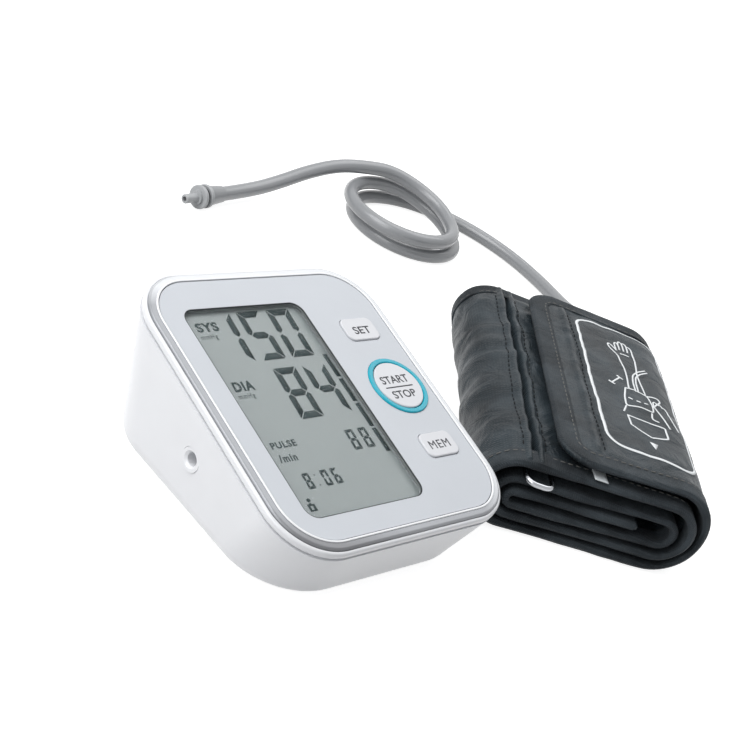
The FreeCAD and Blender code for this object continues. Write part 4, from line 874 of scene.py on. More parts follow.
def cloth(name, dark, light, roughness, thread, weave_depth, crinkle_depth, sheen, specular):
    """Woven cloth on the map (s, v) in metres: crossed waves for threads, noise for creases.

    The weave's height is one wave times the other. The colour's share of `light` is
    0.28 times that height, plus large noise stretched to run from 0 to 0.72.
    """
    material = bpy.data.materials.new(name)
    material.use_nodes = True
    tree = material.node_tree
    shader = set_inputs(tree.nodes["Principled BSDF"], Roughness=roughness, Sheen_Weight=sheen,
                        Sheen_Roughness=0.45, Specular_IOR_Level=specular)
    where = tree.nodes.new("ShaderNodeUVMap")
    where.uv_map = "band"
    band_map = where.outputs["UV"]
    heights = []
    for direction, finer in (("DIAGONAL", 2.0), ("Y", 1.0)):
        wave = add_node(tree, "ShaderNodeTexWave", Scale=finer / thread, Distortion=0.6, Detail=1.0)
        wave.bands_direction = direction
        wire(tree, (band_map, wave.inputs["Vector"]))
        heights.append(wave.outputs["Fac"])
    weave = add_math(tree, "ShaderNodeMath", "MULTIPLY", *heights).outputs[0]
    crinkle = add_node(tree, "ShaderNodeTexNoise", Scale=80.0, Detail=3.0, Roughness=0.5, Distortion=0.9)
    blotch = add_node(tree, "ShaderNodeTexNoise", Scale=38.0, Detail=4.0, Roughness=0.6)
    spread = add_node(tree, "ShaderNodeMapRange", From_Min=0.32, From_Max=0.68, To_Max=0.72)
    share = add_math(tree, "ShaderNodeMath", "MULTIPLY_ADD", weave)
    share.inputs[1].default_value = 0.28
    shade = mix_colours(tree, A=dark, B=light)
    weave_bump = add_node(tree, "ShaderNodeBump", Strength=weave_depth, Distance=WEAVE_HEIGHT)
    crinkle_bump = add_node(tree, "ShaderNodeBump", Strength=crinkle_depth, Distance=CRINKLE_HEIGHT)
    wire(tree, (band_map, crinkle.inputs["Vector"]), (band_map, blotch.inputs["Vector"]),
         (blotch.outputs["Fac"], spread.inputs["Value"]), (spread.outputs["Result"], share.inputs[2]),
         (share.outputs[0], shade.inputs["Factor"]), (shade.outputs["Result"], shader.inputs["Base Color"]),
         (crinkle.outputs["Fac"], crinkle_bump.inputs["Height"]), (weave, weave_bump.inputs["Height"]),
         (crinkle_bump.outputs["Normal"], weave_bump.inputs["Normal"]),
         (weave_bump.outputs["Normal"], shader.inputs["Normal"]))
    return material


print("weave height %.1f mm, crinkle height %.1f mm" % (WEAVE_HEIGHT / MM, CRINKLE_HEIGHT / MM))

# %% [markdown]
# Nylon, tape and thread
#
# The cover is smooth nylon, the tape round its edge is a coarser and duller weave, and two
# threads sew them: a dark one for the cloth's own seams and a grey one for the tape. The
# same function makes both cloths, so only their values differ.

# %% Cloths and threads
nylon = cloth("slate_nylon", srgb(21, 27, 31), srgb(60, 70, 76), roughness=0.36, thread=0.0034,
              weave_depth=0.6, crinkle_depth=1.0, sheen=0.02, specular=0.20)
tape = cloth("binding_tape", srgb(22, 26, 30), srgb(68, 75, 80), roughness=0.60, thread=0.0030,
             weave_depth=1.0, crinkle_depth=0.9, sheen=0.03, specular=0.15)
thread = plastic("dark_thread", srgb(24, 26, 28), 0.6, grain=0.2, grain_depth=0.2, specular=0.1)
light_thread = plastic("grey_thread", srgb(104, 104, 102), 0.6, grain=0.2, grain_depth=0.2, specular=0.1)
print("cloths:", nylon.name, "and", tape.name)

# %% [markdown]
# The band's grid
#
# The surface needs points close together where the cloth is sewn or turns over its edge,
# and few deep inside the roll. A subdivided plane would be fine everywhere or nowhere, so
# the rows are spaced by a table of steps, and the columns crowd towards the two edges.

# %% Band grid
ROW_STEPS = [(0, 0.35), (2.5, 0.7), (26, 1.6), (SECOND_TOP - 2, 0.5), (SLIT_AT + 6, 2.0), (330, 3.0)]
LAST_ROW = BAND_LENGTH - 1
EVEN_SHARE, COLUMN_STEP, EDGE_COLUMNS = 0.80, 1.45 / 72, 17


def spaced(start, end, step):
    """Evenly spaced distances: the number of gaps is the span over the step, rounded."""
    return np.linspace(start, end, max(2, int(round((end - start) / step)) + 1))


ends = [start for start, _ in ROW_STEPS[1:]] + [LAST_ROW]
s_rows = [spaced(start, end, step)[:-1] for (start, step), end in zip(ROW_STEPS, ends)]
even = spaced(0, EVEN_SHARE, COLUMN_STEP)
crowded = 1 - (1 - EVEN_SHARE) * (1 - spaced(0, 1, 1 / EDGE_COLUMNS)) ** 1.6
half = np.concatenate([even, crowded])
v_shape = np.unique(np.round(np.concatenate([-half, half]), 6))

S, V = np.meshgrid(np.concatenate(s_rows + [[LAST_ROW]]), v_shape, indexing="ij")
V = V * edge_of(S)
rows, columns = S.shape
print("band grid:", rows, "rows of", columns)

# %% [markdown]
# Band
#
# The band is two sheets of cloth, outer and inner, that meet at the outline. Both are the same grid of (s,
# v): only the distance from the middle line differs. A last strip closes the band's hidden end.

# %% Cuff band
def add_map(piece, across, along):
    """Store each corner's two distances in metres, as the map that the cloth reads."""
    mesh = piece.data
    layer = mesh.uv_layers.new(name="band")
    corner = np.empty(len(mesh.loops), int)
    mesh.loops.foreach_get("vertex_index", corner)
    layer.data.foreach_set("uv", (np.column_stack([across, along])[corner] * MM).ravel())


half_here = fullness(S, V)
slack = 0.35 * smooth((depth_from_edge(S, V) - 4) / 9) * ripple(S / 13, V / 17, 4)
outer = on_band(S, V, half_here + lift(S, V))
inner = on_band(S, V, slack - half_here)
sheet = rows * columns
under = [face[::-1] for face in grid_faces(rows, columns, start=sheet)]
last = sheet - columns + np.arange(columns - 1)
end_cap = np.stack([last, last + 1, last + 1 + sheet, last + sheet], 1).tolist()
cuff_cloth = new_piece("cuff_cloth", np.concatenate([outer.reshape(-1, 3), inner.reshape(-1, 3)]),
                       grid_faces(rows, columns) + under + end_cap, CUFF, nylon)
add_map(cuff_cloth, np.tile(S.ravel(), 2), np.tile(V.ravel(), 2))
face_out(cuff_cloth)
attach(cuff_cloth, "cuff")
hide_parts("cuff_band")
print("cuff band:", len(cuff_cloth.data.polygons), "faces")

# %% [markdown]
# Edge line and tape profile
#
# A tape is folded over the band's raw edge and hides it. It is a profile carried along a
# path. The path is the band's outline, with the inward way at each of its points. The
# profile is a closed loop that grips the edge like a letter U laid on its side.

# %% Tape profile
TAPE_SKIN, TAPE_BACK = 0.42, -0.12
CORNER_POINTS, LOOP_POINTS = 12, 7


def outline(side_s):
    """The band's outline as (s, v) and its inward way, up one side, round the flap, back.

    Along the sides s goes from the band's end to the corner; each corner is a quarter
    circle of radius 14; the flap's edge joins the corners.
    """
    corner_v = half_long(np.array([FLAP_CORNER]))[0] - FLAP_CORNER
    quarter = np.radians(np.linspace(0, 90, CORNER_POINTS))
    front_v = spaced(-corner_v, corner_v, 1.6)[::-1][1:-1]
    side = np.stack([side_s, half_long(side_s), 0 * side_s, -np.ones_like(side_s)], 1)
    corner = np.stack([FLAP_CORNER - FLAP_CORNER * np.sin(quarter), corner_v + FLAP_CORNER * np.cos(quarter),
                       np.sin(quarter), -np.cos(quarter)], 1)
    front = np.stack([0 * front_v, front_v, np.ones_like(front_v), 0 * front_v], 1)
    upper = np.concatenate([side[::-1], corner[1:]])
    lower = upper[::-1] * np.array([1, -1, 1, -1])
    return np.concatenate([upper, front, lower])


def tape_loop():
    """The tape's closed cross-section: (inwards, thickness sign, skin) round the edge.

    It starts on the outer face 8.6 mm in, turns round the edge in a half circle, and
    ends on the inner face, then goes back just under its own skin.
    """
    flat = np.linspace(TAPE_WIDE, 0.6, LOOP_POINTS)
    bend = np.radians(np.linspace(80, -80, 7))
    inwards = np.concatenate([flat, 0.35 - 0.75 * np.cos(bend), flat[::-1]])
    sign = np.concatenate([flat * 0 + 1, np.sin(bend), flat * 0 - 1])
    front = np.stack([inwards, sign, inwards * 0 + TAPE_SKIN], 1)
    back = np.stack([np.maximum(inwards, 0.5), sign, inwards * 0 + TAPE_BACK], 1)
    return np.concatenate([front, back[::-1]])


print("tape profile:", len(tape_loop()), "points")

# %% [markdown]
# Binding tape
#
# A modelling tool could sweep the profile along the path, but would know nothing of the
# padding below it. With arrays the tape is a grid, one row to a point of the path and one
# column to a point of the loop, and its height follows the padding at every point.

# %% Binding tape
edge_line = outline(spaced(FLAP_CORNER, BAND_LENGTH - 2, 2.0))
edge_s, edge_v, in_s, in_v = edge_line.T[:, :, None]
inwards, sign, skin = tape_loop().T[:, None, :]
tape_s = np.maximum(edge_s + in_s * inwards, -0.4)
tape_v = edge_v + in_v * inwards
deep = np.maximum(inwards, 0.02)
wavy = (0.16 * ripple(tape_s / 6 + 3, tape_v / 6, 2)
        + 0.3 * smooth(tape_s / 40) * ripple(tape_s / 17, tape_v / 30 + 7, 1))
out = sign * np.maximum(rounding(deep) * padding(deep) + skin + wavy, 0.25)
px, pz, nx, nz = walk(np.maximum(tape_s, 0))
past_edge = np.minimum(tape_s, 0)
tape_points = np.stack([px + past_edge + out * nx, tape_v, np.maximum(pz + out * nz, TABLE_GAP)], -1)
cuff_tape = new_piece("cuff_tape", tape_points.reshape(-1, 3),
                      grid_faces(*tape_points.shape[:2], close_columns=True), CUFF, tape)
add_map(cuff_tape, tape_s.ravel(), tape_v.ravel())
face_out(cuff_tape)
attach(cuff_tape, "cuff")
print("tape:", len(cuff_tape.data.polygons), "faces")

# %% [markdown]
# One stitch
#
# A sewing machine lays equal stitches along a seam. Copies of one object could be laid
# along a curve, but it is as short to work them all out at once: one stitch is a small
# six-sided capsule, the middles are read off at equal distances along the seam, and each
# capsule is turned to the seam's direction.

# %% Stitch helpers
CAPSULE_ALONG = np.array([-1.0, -0.72, 0.72, 1.0])
CAPSULE_ROUND = np.array([0.45, 1.0, 1.0, 0.45])
AROUND = np.radians(np.arange(6) * 60.0)
STITCH_STEP, STITCH_LONG, STITCH_THICK = 3.3, 2.1, 0.27
SEAM_DEPTH = 7.1


def stitch_points(s, v, out):
    """Capsules along the seam through (s, v), `out` millimetres off the middle line.

    A capsule's point is its middle, plus the seam's direction times half its length,
    plus a circle about that direction that is narrower at the two ends.
    """
    seam = on_band(s, v, out)
    _, _, nx, nz = walk(s)
    up = np.stack([nx, 0 * nx, nz], -1)
    gone = np.concatenate([[0], np.cumsum(np.linalg.norm(np.diff(seam, axis=0), axis=1))])
    at = np.arange(STITCH_STEP / 2, gone[-1], STITCH_STEP)

    def read(track, places):
        return np.stack([np.interp(places, gone, track[:, k]) for k in range(3)], 1)

    way = read(seam, at + 0.6) - read(seam, at - 0.6)
    way /= np.linalg.norm(way, axis=1, keepdims=True)
    side = np.cross(read(up, at), way)
    side /= np.linalg.norm(side, axis=1, keepdims=True)
    top = np.cross(way, side)
    along = (CAPSULE_ALONG * STITCH_LONG / 2)[None, :, None, None] * way[:, None, None, :]
    ring = STITCH_THICK * CAPSULE_ROUND[None, :, None, None] * (
        np.cos(AROUND)[None, None, :, None] * side[:, None, None, :]
        + 0.8 * np.sin(AROUND)[None, None, :, None] * top[:, None, None, :])
    return (read(seam, at)[:, None, None, :] + along + ring).reshape(-1, 24, 3)


def capsules(name, groups, finish):
    """One mesh of many capsules: four rings of six points, and a six-sided cap at each end."""
    points = np.concatenate(groups)
    first = (np.arange(len(points)) * 24)[:, None, None]
    one = np.array(grid_faces(4, 6, close_columns=True))
    caps = np.array([[5, 4, 3, 2, 1, 0], [18, 19, 20, 21, 22, 23]])
    faces = (one + first).reshape(-1, 4).tolist() + (caps + first).reshape(-1, 6).tolist()
    return face_out(new_piece(name, points.reshape(-1, 3), faces, CUFF, finish))


print("a stitch every %.1f mm, %.1f mm long" % (STITCH_STEP, STITCH_LONG))

# %% [markdown]
# Seams
#
# One seam holds the tape all round. Dark ones run beside the flap's edge and on both sides
# of the slit, and waver a little, as a seam guided by hand does. The stitches of one
# thread are one mesh, so that hundreds of them cost little.

# %% Stitches
TAPE_SEAM_END = 292.0
FLAP_SEAM_HALF, SLIT_SEAM_HALF, SLIT_SEAM_OFF = 58.0, 64.0, 4.6
ABOVE_TAPE, ABOVE_CLOTH = 0.02, 0.12
WAVER = 0.35

seam_s, seam_v, in_s, in_v = outline(spaced(FLAP_CORNER, TAPE_SEAM_END, 2.0)).T
tape_top = padding(SEAM_DEPTH) + TAPE_SKIN
tape_seam = [stitch_points(seam_s + in_s * SEAM_DEPTH, seam_v + in_v * SEAM_DEPTH, tape_top + ABOVE_TAPE)]
flap_v = spaced(-FLAP_SEAM_HALF, FLAP_SEAM_HALF, 1.5)
slit_v = spaced(-SLIT_SEAM_HALF, SLIT_SEAM_HALF, 1.5)
seam_lines = [(SEAM_AT + 0.3, flap_v), (SLIT_AT - SLIT_SEAM_OFF, slit_v), (SLIT_AT + SLIT_SEAM_OFF, slit_v)]
cloth_seams = []
for at, v_line in seam_lines:
    s_line = at + WAVER * np.sin(v_line / 13)
    cloth_top = fullness(s_line, v_line) + lift(s_line, v_line)
    cloth_seams.append(stitch_points(s_line, v_line, cloth_top + ABOVE_CLOTH))
cuff_stitches = capsules("cuff_stitches", cloth_seams, thread)
tape_stitches = capsules("tape_stitches", tape_seam, light_thread)
for piece in (cuff_stitches, tape_stitches):
    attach(piece, "cuff")
print("stitches:", sum(len(group) for group in cloth_seams + tape_seam))

# %% [markdown]
# Pen lines
#
# A printed drawing is made of lines, and a line is a path in the distances s and v. Few
# corners say enough: the points between them are filled in at equal distances, and moved
# towards their neighbours until the corners are soft.

# %% Paths
def even_path(corners, step=0.8, closed=False):
    """Points at equal distances along straight runs between corners.

    The distance gone at a corner is the sum of the runs before it, and each point is read
    off between the two corners that its own distance lies between.
    """
    p = np.asarray(corners, float)
    if closed:
        p = np.concatenate([p, p[:1]])
    gone = np.concatenate([[0], np.cumsum(np.linalg.norm(np.diff(p, axis=0), axis=1))])
    at = spaced(0, gone[-1], step)
    if closed:
        at = at[:-1]
    return np.stack([np.interp(at, gone, p[:, 0]), np.interp(at, gone, p[:, 1])], 1)


def soften(path, rounds):
    """Move each point but the ends halfway to the mean of its neighbours, a few times."""
    for _ in range(rounds):
        moved = 0.5 * path + 0.25 * (np.roll(path, 1, axis=0) + np.roll(path, -1, axis=0))
        moved[0], moved[-1] = path[0], path[-1]
        path = moved
    return path


def rounded_frame(s0, s1, v0, v1, radius, count=10):
    """A rounded rectangle: four quarter circles joined by straight runs.

    A quarter's points are its middle plus the radius times (cosine, sine), with the signs
    of its corner; every other quarter is read backwards, so that the line runs round.
    """
    turn = np.radians(np.linspace(0, 90, count))
    quarter = np.stack([np.cos(turn), np.sin(turn)], 1) * radius
    flip = [(1, 1), (-1, 1), (-1, -1), (1, -1)]
    middles = [(s1 - radius, v1 - radius), (s0 + radius, v1 - radius),
               (s0 + radius, v0 + radius), (s1 - radius, v0 + radius)]
    rows = []
    for n, (signs, middle) in enumerate(zip(flip, middles)):
        arc = quarter * signs
        rows.append((arc if n % 2 == 0 else arc[::-1]) + middle)
    return np.concatenate(rows)


print("a rounded frame has", len(rounded_frame(0, 10, 0, 10, 2)), "points")

# %% [markdown]
# Ink
#
# Printing ink lies on the cloth as a thin film. An image laid over the cloth would blur
# close by, so each line is a narrow ribbon: its path is widened to both sides and laid on
# the cloth's own surface, where it bends with every pucker.

# %% Ink ribbons
INK_ABOVE, INK_DEEP = 0.17, 0.14


def rails(left, right):
    """A strip's four edges on the cloth: left and right at the film's top, then below it."""
    high, low = INK_ABOVE, INK_ABOVE - INK_DEEP
    edges = [(left, high), (right, high), (right, low), (left, low)]
    return np.stack([on_cloth(side[:, 0], side[:, 1], above) for side, above in edges], 1)


def strip_faces(count, closed=False):
    """Faces of a strip with four edges: its walls, and a cap at each end of an open one."""
    faces = grid_faces(count, 4, close_rows=closed, close_columns=True)
    if closed:
        return faces
    end = 4 * (count - 1)
    return faces + [[0, 1, 2, 3], [end + 3, end + 2, end + 1, end]]


def ribbon(path, wide, closed=False):
    """A flat strip along a path: each point moved half a width to its left and right.

    The way at a point is from the one before to the one after; left is square to it.
    """
    before = np.roll(path, 1, axis=0) if closed else np.concatenate([path[:1], path[:-1]])
    after = np.roll(path, -1, axis=0) if closed else np.concatenate([path[1:], path[-1:]])
    way = after - before
    way /= np.maximum(np.linalg.norm(way, axis=1, keepdims=True), 1e-9)
    side = np.stack([-way[:, 1], way[:, 0]], 1) * wide / 2
    return rails(path + side, path - side).reshape(-1, 3), strip_faces(len(path), closed)


print("ink: %.2f mm thick" % INK_DEEP)

# %% [markdown]
# The drawing
#
# The drawing shows how the cuff is worn: a plain arm with the cuff on it, two hoses along
# the forearm, the flap pulled by a helping hand, a row of dashes and a length mark. Next
# to it stand an arrow shape and a triangle, all inside a rounded frame. Each line is a
# short list of corners that is softened into a curve, as a pen would draw it.

# %% Print
FRAME_BOX, FRAME_RADIUS, FRAME_LINE = (21.5, 62.5, -50.5, 56.5), 8.5, 1.4
DRAWN_LINE, ARROW_LINE = 0.78, 0.85
FOREARM = [
    [(39.2, 30.5), (39.6, 25), (40.4, 19), (40.2, 9), (39.4, 1.0)],
    [(47.8, 31), (47.2, 24), (46.3, 18), (46.5, 10), (47.4, 1.0)],
]
HAND = [
    [(39.2, 30.5), (37.9, 33.4), (35.9, 36.6), (35.2, 39.3), (36.4, 40.4), (38.0, 38.6), (39.6, 35.8)],
    [(39.5, 35.6), (39.3, 41.5), (39.7, 43.9), (41.0, 44.1), (41.4, 42.4), (41.4, 37.4)],
    [(41.4, 42.6), (41.7, 45.6), (43.0, 46.2), (43.6, 44.9), (43.5, 37.6)],
    [(43.6, 44.6), (44.2, 45.9), (45.4, 45.7), (45.7, 43.9), (45.5, 37.4)],
    [(45.7, 43.2), (46.5, 44.0), (47.5, 43.3), (47.8, 41.2), (47.6, 36.0), (47.8, 31.0)],
    [(41.0, 33.6), (43.4, 34.4), (45.6, 33.8)],
]
UPPER_ARM = [
    [(36.0, -13.6), (34.9, -16.6), (33.6, -20.0)],
    [(47.6, -14.0), (47.2, -16.4), (46.9, -18.8), (50.2, -19.2)],
]
HOSES = [
    [(42.6, 0.6), (42.7, 9.0), (43.8, 15.5), (47.0, 20.6), (51.6, 24.6)],
    [(44.0, 0.6), (44.1, 8.6), (45.1, 14.4), (48.0, 19.2), (52.4, 23.1)],
]
WORN_CUFF = [
    [(37.6, 0.8), (42.4, 1.6), (48.2, 0.4), (49.3, -6.5), (48.6, -13.2), (42.6, -12.2), (36.0, -13.6),
     (36.4, -6.0), (37.6, 0.8)],
    [(48.2, 0.4), (51.6, 2.2), (54.0, 1.8), (54.2, -0.6), (51.6, -4.4), (49.3, -8.0)],
]
HELPING_HAND = [
    [(50.2, -3.6), (50.9, -1.6), (52.2, -2.6), (52.3, -4.8), (52.9, -2.6), (54.2, -3.0), (54.3, -5.2),
     (54.9, -3.6), (56.2, -4.4), (56.6, -8.0), (57.4, -13.4), (59.2, -19.4)],
    [(50.2, -3.6), (50.0, -6.8), (51.4, -11.0), (53.0, -15.6), (55.0, -20.8)],
]
LENGTH_MARK = [[(31.6, 2.2), (36.4, 8.8)], [(30.4, 3.4), (33.0, 1.4)], [(35.0, 9.8), (37.8, 7.8)]]
DASHES = [[(37.9, -6.6), (39.7, -7.6)], [(41.3, -8.0), (43.3, -8.2)], [(44.9, -8.0), (46.9, -7.4)]]
ARROW = [(34.8, -22.6), (52.2, -22.6), (52.2, -30.6), (43.5, -35.6), (34.8, -30.6)]
TRIANGLE_FOOT, TRIANGLE_LONG, TRIANGLE_HALF = (43.5, -39.6), 4.6, 1.9

drawing = FOREARM + HAND + UPPER_ARM + HOSES + WORN_CUFF + HELPING_HAND + LENGTH_MARK + DASHES
strips = [ribbon(even_path(rounded_frame(*FRAME_BOX, FRAME_RADIUS), closed=True), FRAME_LINE, closed=True)]
strips += [ribbon(soften(even_path(path), 4), DRAWN_LINE) for path in drawing]
strips.append(ribbon(even_path(ARROW, closed=True), ARROW_LINE, closed=True))

share = np.linspace(0, 1, 8)
spine = np.stack([0 * share + TRIANGLE_FOOT[0], TRIANGLE_FOOT[1] - TRIANGLE_LONG * share], 1)
half_wide = np.stack([TRIANGLE_HALF * (1 - share) + 0.02, 0 * share], 1)
strips.append((rails(spine - half_wide, spine + half_wide).reshape(-1, 3), strip_faces(len(share))))
ink = plastic("white_ink", srgb(238, 241, 243), 0.55, grain=0.5, grain_depth=0.35, mottle=0.05)
cuff_print = joined_strips("cuff_print", strips, ink, CUFF)
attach(cuff_print, "cuff")
print("print:", len(strips), "strips,", len(cuff_print.data.polygons), "faces")

# %% [markdown]
# Spout
#
# The tube leaves the band through a short sleeve of cloth, gathered a little
# where it is sewn in. It is a surface of revolution, which a lathe-like tool could spin.
# Small pleats round it can't be spun, so every radius is worked out: one for each distance
# along the tube, times a wave round it. Its axis is that of the CAD piece it stands for.

# %% Spout
SPOUT_FROM, PLEATS = 62.0, 11
SPOUT_STEPS = 72
MAP_PER_TURN = 4.2
SPOUT_PROFILE = [(0.0, 4.5, 0.0), (6.5, 4.6, 0.0), (8.2, 4.65, 0.02), (9.2, 4.6, 0.05), (10.2, 4.5, 0.06),
                 (11.2, 4.3, 0.05), (12.4, 4.15, 0.03), (13.6, 4.1, 0.015), (14.2, 3.95, 0.0),
                 (14.2, 3.64, 0.0), (12.0, 3.6, 0.0), (0.0, 3.6, 0.0)]

spout_x, _, spout_z = sum(node_box("tube_spout", CUFF)) / 2
y, radius, ruffle = np.array(SPOUT_PROFILE).T[:, :, None]
turn = np.radians(np.arange(SPOUT_STEPS) * 360.0 / SPOUT_STEPS)
pleated = radius * (1 + ruffle * np.sin(PLEATS * turn))
ring_points = np.stack([spout_x + pleated * np.cos(turn), SPOUT_FROM + y + 0 * pleated,
                        spout_z + pleated * np.sin(turn)], -1)
tube_spout = new_piece("spout_sleeve", ring_points.reshape(-1, 3),
                       grid_faces(len(y), SPOUT_STEPS, close_rows=True, close_columns=True), CUFF, tape)
add_map(tube_spout, np.tile(turn * MAP_PER_TURN, len(y)), np.repeat(y, SPOUT_STEPS))
face_out(tube_spout)
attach(tube_spout, "cuff")
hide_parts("tube_spout")
print("spout:", len(tube_spout.data.polygons), "faces")

# %% [markdown]
# Tag
#
# A folded tag of pale ribbon peeps out from under the flap. Ribbon is thin and a little
# wavy, so it is a grid of points with one wave along it, and a copy of the grid below it.
# The two are joined all round, which keeps the tag a closed body.

# %% Tag
TAG_WIDE, TAG_THICK, TAG_OUT = 5.6, 0.35, 4.6
TAG_MIDDLE, TAG_FROM = -4.0, -61.0
ACROSS, ALONG = 7, 12

tag_end = TAG_OUT + half_long(np.array([20.0]))[0] - 2.0
tag_x = TAG_MIDDLE + np.linspace(-0.5, 0.5, ACROSS) * TAG_WIDE
tag_x, tag_y = np.meshgrid(tag_x, np.linspace(TAG_FROM, -tag_end, ALONG), indexing="ij")
tag_top = TOPS[1] + LAYER_HALF + TAG_THICK + 0.25 * np.sin((tag_y - TAG_FROM) / 3.2)
tag_points = np.stack([np.stack([tag_x, tag_y, level], -1) for level in (tag_top, tag_top - TAG_THICK)])
number = np.arange(ACROSS * ALONG).reshape(ACROSS, ALONG)
rim = np.concatenate([number[0], number[1:, -1], number[-1, -2::-1], number[-2:0:-1, 0]])
below = ACROSS * ALONG
rim_faces = np.stack([rim, np.roll(rim, -1), np.roll(rim, -1) + below, rim + below], 1).tolist()
tag_faces = grid_faces(ACROSS, ALONG) + [face[::-1] for face in grid_faces(ACROSS, ALONG, start=below)]
tag_finish = plastic("tag_tape", srgb(196, 201, 204), 0.6, grain=0.5, grain_depth=0.4)
cuff_tag = face_out(new_piece("cuff_tag", tag_points.reshape(-1, 3), tag_faces + rim_faces, CUFF, tag_finish))
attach(cuff_tag, "cuff")
print("tag:", len(cuff_tag.data.polygons), "faces")

# %% [markdown]
# Window lining, painted shade
#
# The wall of the window's opening lies in shade, and that shade is painted: dark at the faceplate's edge and
# grey further down. A thin liner carries this painted shade without touching the faceplate's own finish.
# It is a ring of four-sided strips between nested rounded frames, and its finish blends
# from one colour to the other over its depth. The opening is the window's sheet less the
# ledge that it is glued to, so its size is read from the CAD piece.

# %% Window lining
LENS_LEDGE, WINDOW_CORNER = 1.2, 5.0
LINING_FOOT_GAP = 0.01

lens_low, lens_high = node_box("display_lens", PANEL)
window_left, window_low = lens_low[:2] + LENS_LEDGE
window_right, window_high = lens_high[:2] - LENS_LEDGE
lining_foot = lens_high[2] + LINING_FOOT_GAP
LINING_PROFILE = [(0.02, -0.05), (0.34, -0.10), (0.40, lining_foot), (0.02, lining_foot)]


def frame_loop(inset, level):
    """The window's outline moved inwards, as points (n, 3) on the panel."""
    flat = rounded_frame(window_left + inset, window_right - inset, window_low + inset, window_high - inset,
                         WINDOW_CORNER - inset, 14)
    return np.column_stack([flat, np.full(len(flat), level)])


lining_points = np.stack([frame_loop(inset, level) for inset, level in LINING_PROFILE], 1)
# Painted shade: dark at the faceplate's edge, grey lower down the wall.
painted_shade_finish = blend_along(plastic("window_shade_lining", srgb(164, 169, 169), 0.5, specular=0.2), -1.05, -0.25,
                            srgb(42, 46, 48))
window_shade_lining = face_out(new_piece("window_shade_lining", lining_points.reshape(-1, 3),
                                   grid_faces(len(lining_points), 4, close_rows=True, close_columns=True),
                                   PANEL, painted_shade_finish))
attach(window_shade_lining, "console")
print("lining:", len(window_shade_lining.data.polygons), "faces")

# %% [markdown]
# Digits
#
# A liquid crystal display shows fixed segments: each is a dark film with slim gaps to its
# neighbours. A digit is seven shapes in a box. The outer ones are cut at a slant so that
# they meet like the corners of a picture frame, and the whole digit leans a little. A
# font could write the figures, but wouldn't have these gaps and slants.

# %% Digits
LIT = {"0": "abcdef", "1": "bc", "4": "bcfg", "5": "acdfg", "6": "acdefg", "8": "abcdefg"}


def digit(figure, x, y, wide, high, bar_x, bar_y, gap, lean):
    """The lit segments of one figure, as lists of corners on the panel.

    x and y are the box's lower left corner. `a` is on top, `b` and `c` down the right,
    `d` at the bottom, `e` and `f` up the left, `g` across the middle. A point moves to
    the right by `lean` times its height.
    """
    slant, middle = 1.4 * gap, high / 2
    inner_left, inner_right = bar_x + 0.3 * gap, wide - bar_x - 0.3 * gap
    top = [(slant, high), (wide - slant, high), (inner_right, high - bar_y), (inner_left, high - bar_y)]
    side = [(0, high - slant), (0, middle + 0.35 * bar_y + gap), (0.45 * bar_x, middle + gap),
            (bar_x, middle + 0.5 * bar_y + gap), (bar_x, high - bar_y - slant)]
    near, far, half = bar_x + gap, wide - bar_x - gap, bar_y / 2
    across = [(0.5 * bar_x + gap, middle), (near, middle + half), (far, middle + half),
              (wide - 0.5 * bar_x - gap, middle), (far, middle - half), (near, middle - half)]

    def flipped(shape, in_x, in_y):
        return [(wide - px if in_x else px, high - py if in_y else py) for px, py in shape]

    shapes = {"a": top, "b": flipped(side, True, False), "c": flipped(side, True, True),
              "d": flipped(top, False, True), "e": flipped(side, False, True), "f": side, "g": across}
    return [np.array(shapes[name]) @ np.array([[1, 0], [lean, 1]]) + (x, y) for name in LIT[figure]]


print("a lit 8 has", len(digit("8", 0, 0, 10, 20, 2, 2, 0.2, 0)), "segments")

# %% [markdown]
# Flat shapes with a thickness
#
# Ink and display film are flat, but a face without thickness flickers where it touches
# another and isn't a body. So each shape, drawn as corners in millimetres from the panel's
# left and lower edges, is raised into a thin plate.

# %% Plates
EDGE_X = -node_box("faceplate", PANEL)[0][0]
FILM_THICK = 0.05


def plates(shapes, low, high):
    """Raise flat shapes between two levels: a lid, a floor and a wall to each edge.

    A shape whose signed area is negative runs clockwise, and is turned round first.
    """
    strips = []
    for shape in shapes:
        shape = np.asarray(shape, float)
        x, y = shape.T
        if np.sum(x * np.roll(y, -1) - np.roll(x, -1) * y) < 0:
            shape = shape[::-1]
        n = len(shape)
        points = np.concatenate([np.column_stack([shape, np.full(n, low)]),
                                 np.column_stack([shape, np.full(n, high)])]) - (EDGE_X, 0, 0)
        walls = [[k, (k + 1) % n, n + (k + 1) % n, n + k] for k in range(n)]
        strips.append((points, walls + [list(range(n, 2 * n)), list(range(n - 1, -1, -1))]))
    return strips


def rectangle(left, right, low, high):
    """A rectangle as corners, anticlockwise from its lower left."""
    return [(left, low), (right, low), (right, high), (left, high)]


def disc(x, y, radius, count=20):
    """A circle as corners: its middle plus the radius times (cosine, sine) of equal turns."""
    turn = np.radians(np.arange(count) * 360.0 / count)
    return np.stack([x + radius * np.cos(turn), y + radius * np.sin(turn)], 1)


print("a disc has", len(disc(0, 0, 1)), "corners, and the panel's left edge is at x = %.1f" % -EDGE_X)

# %% [markdown]
# What the display shows
#
# A reading of 150 over 84 stands in big figures, the pulse below it in smaller ones, and
# the time in the lower left corner. The bars on the right are the level scale. All
# figures of a row share one set of measures, so a row is written once and its figures
# only say where they stand.

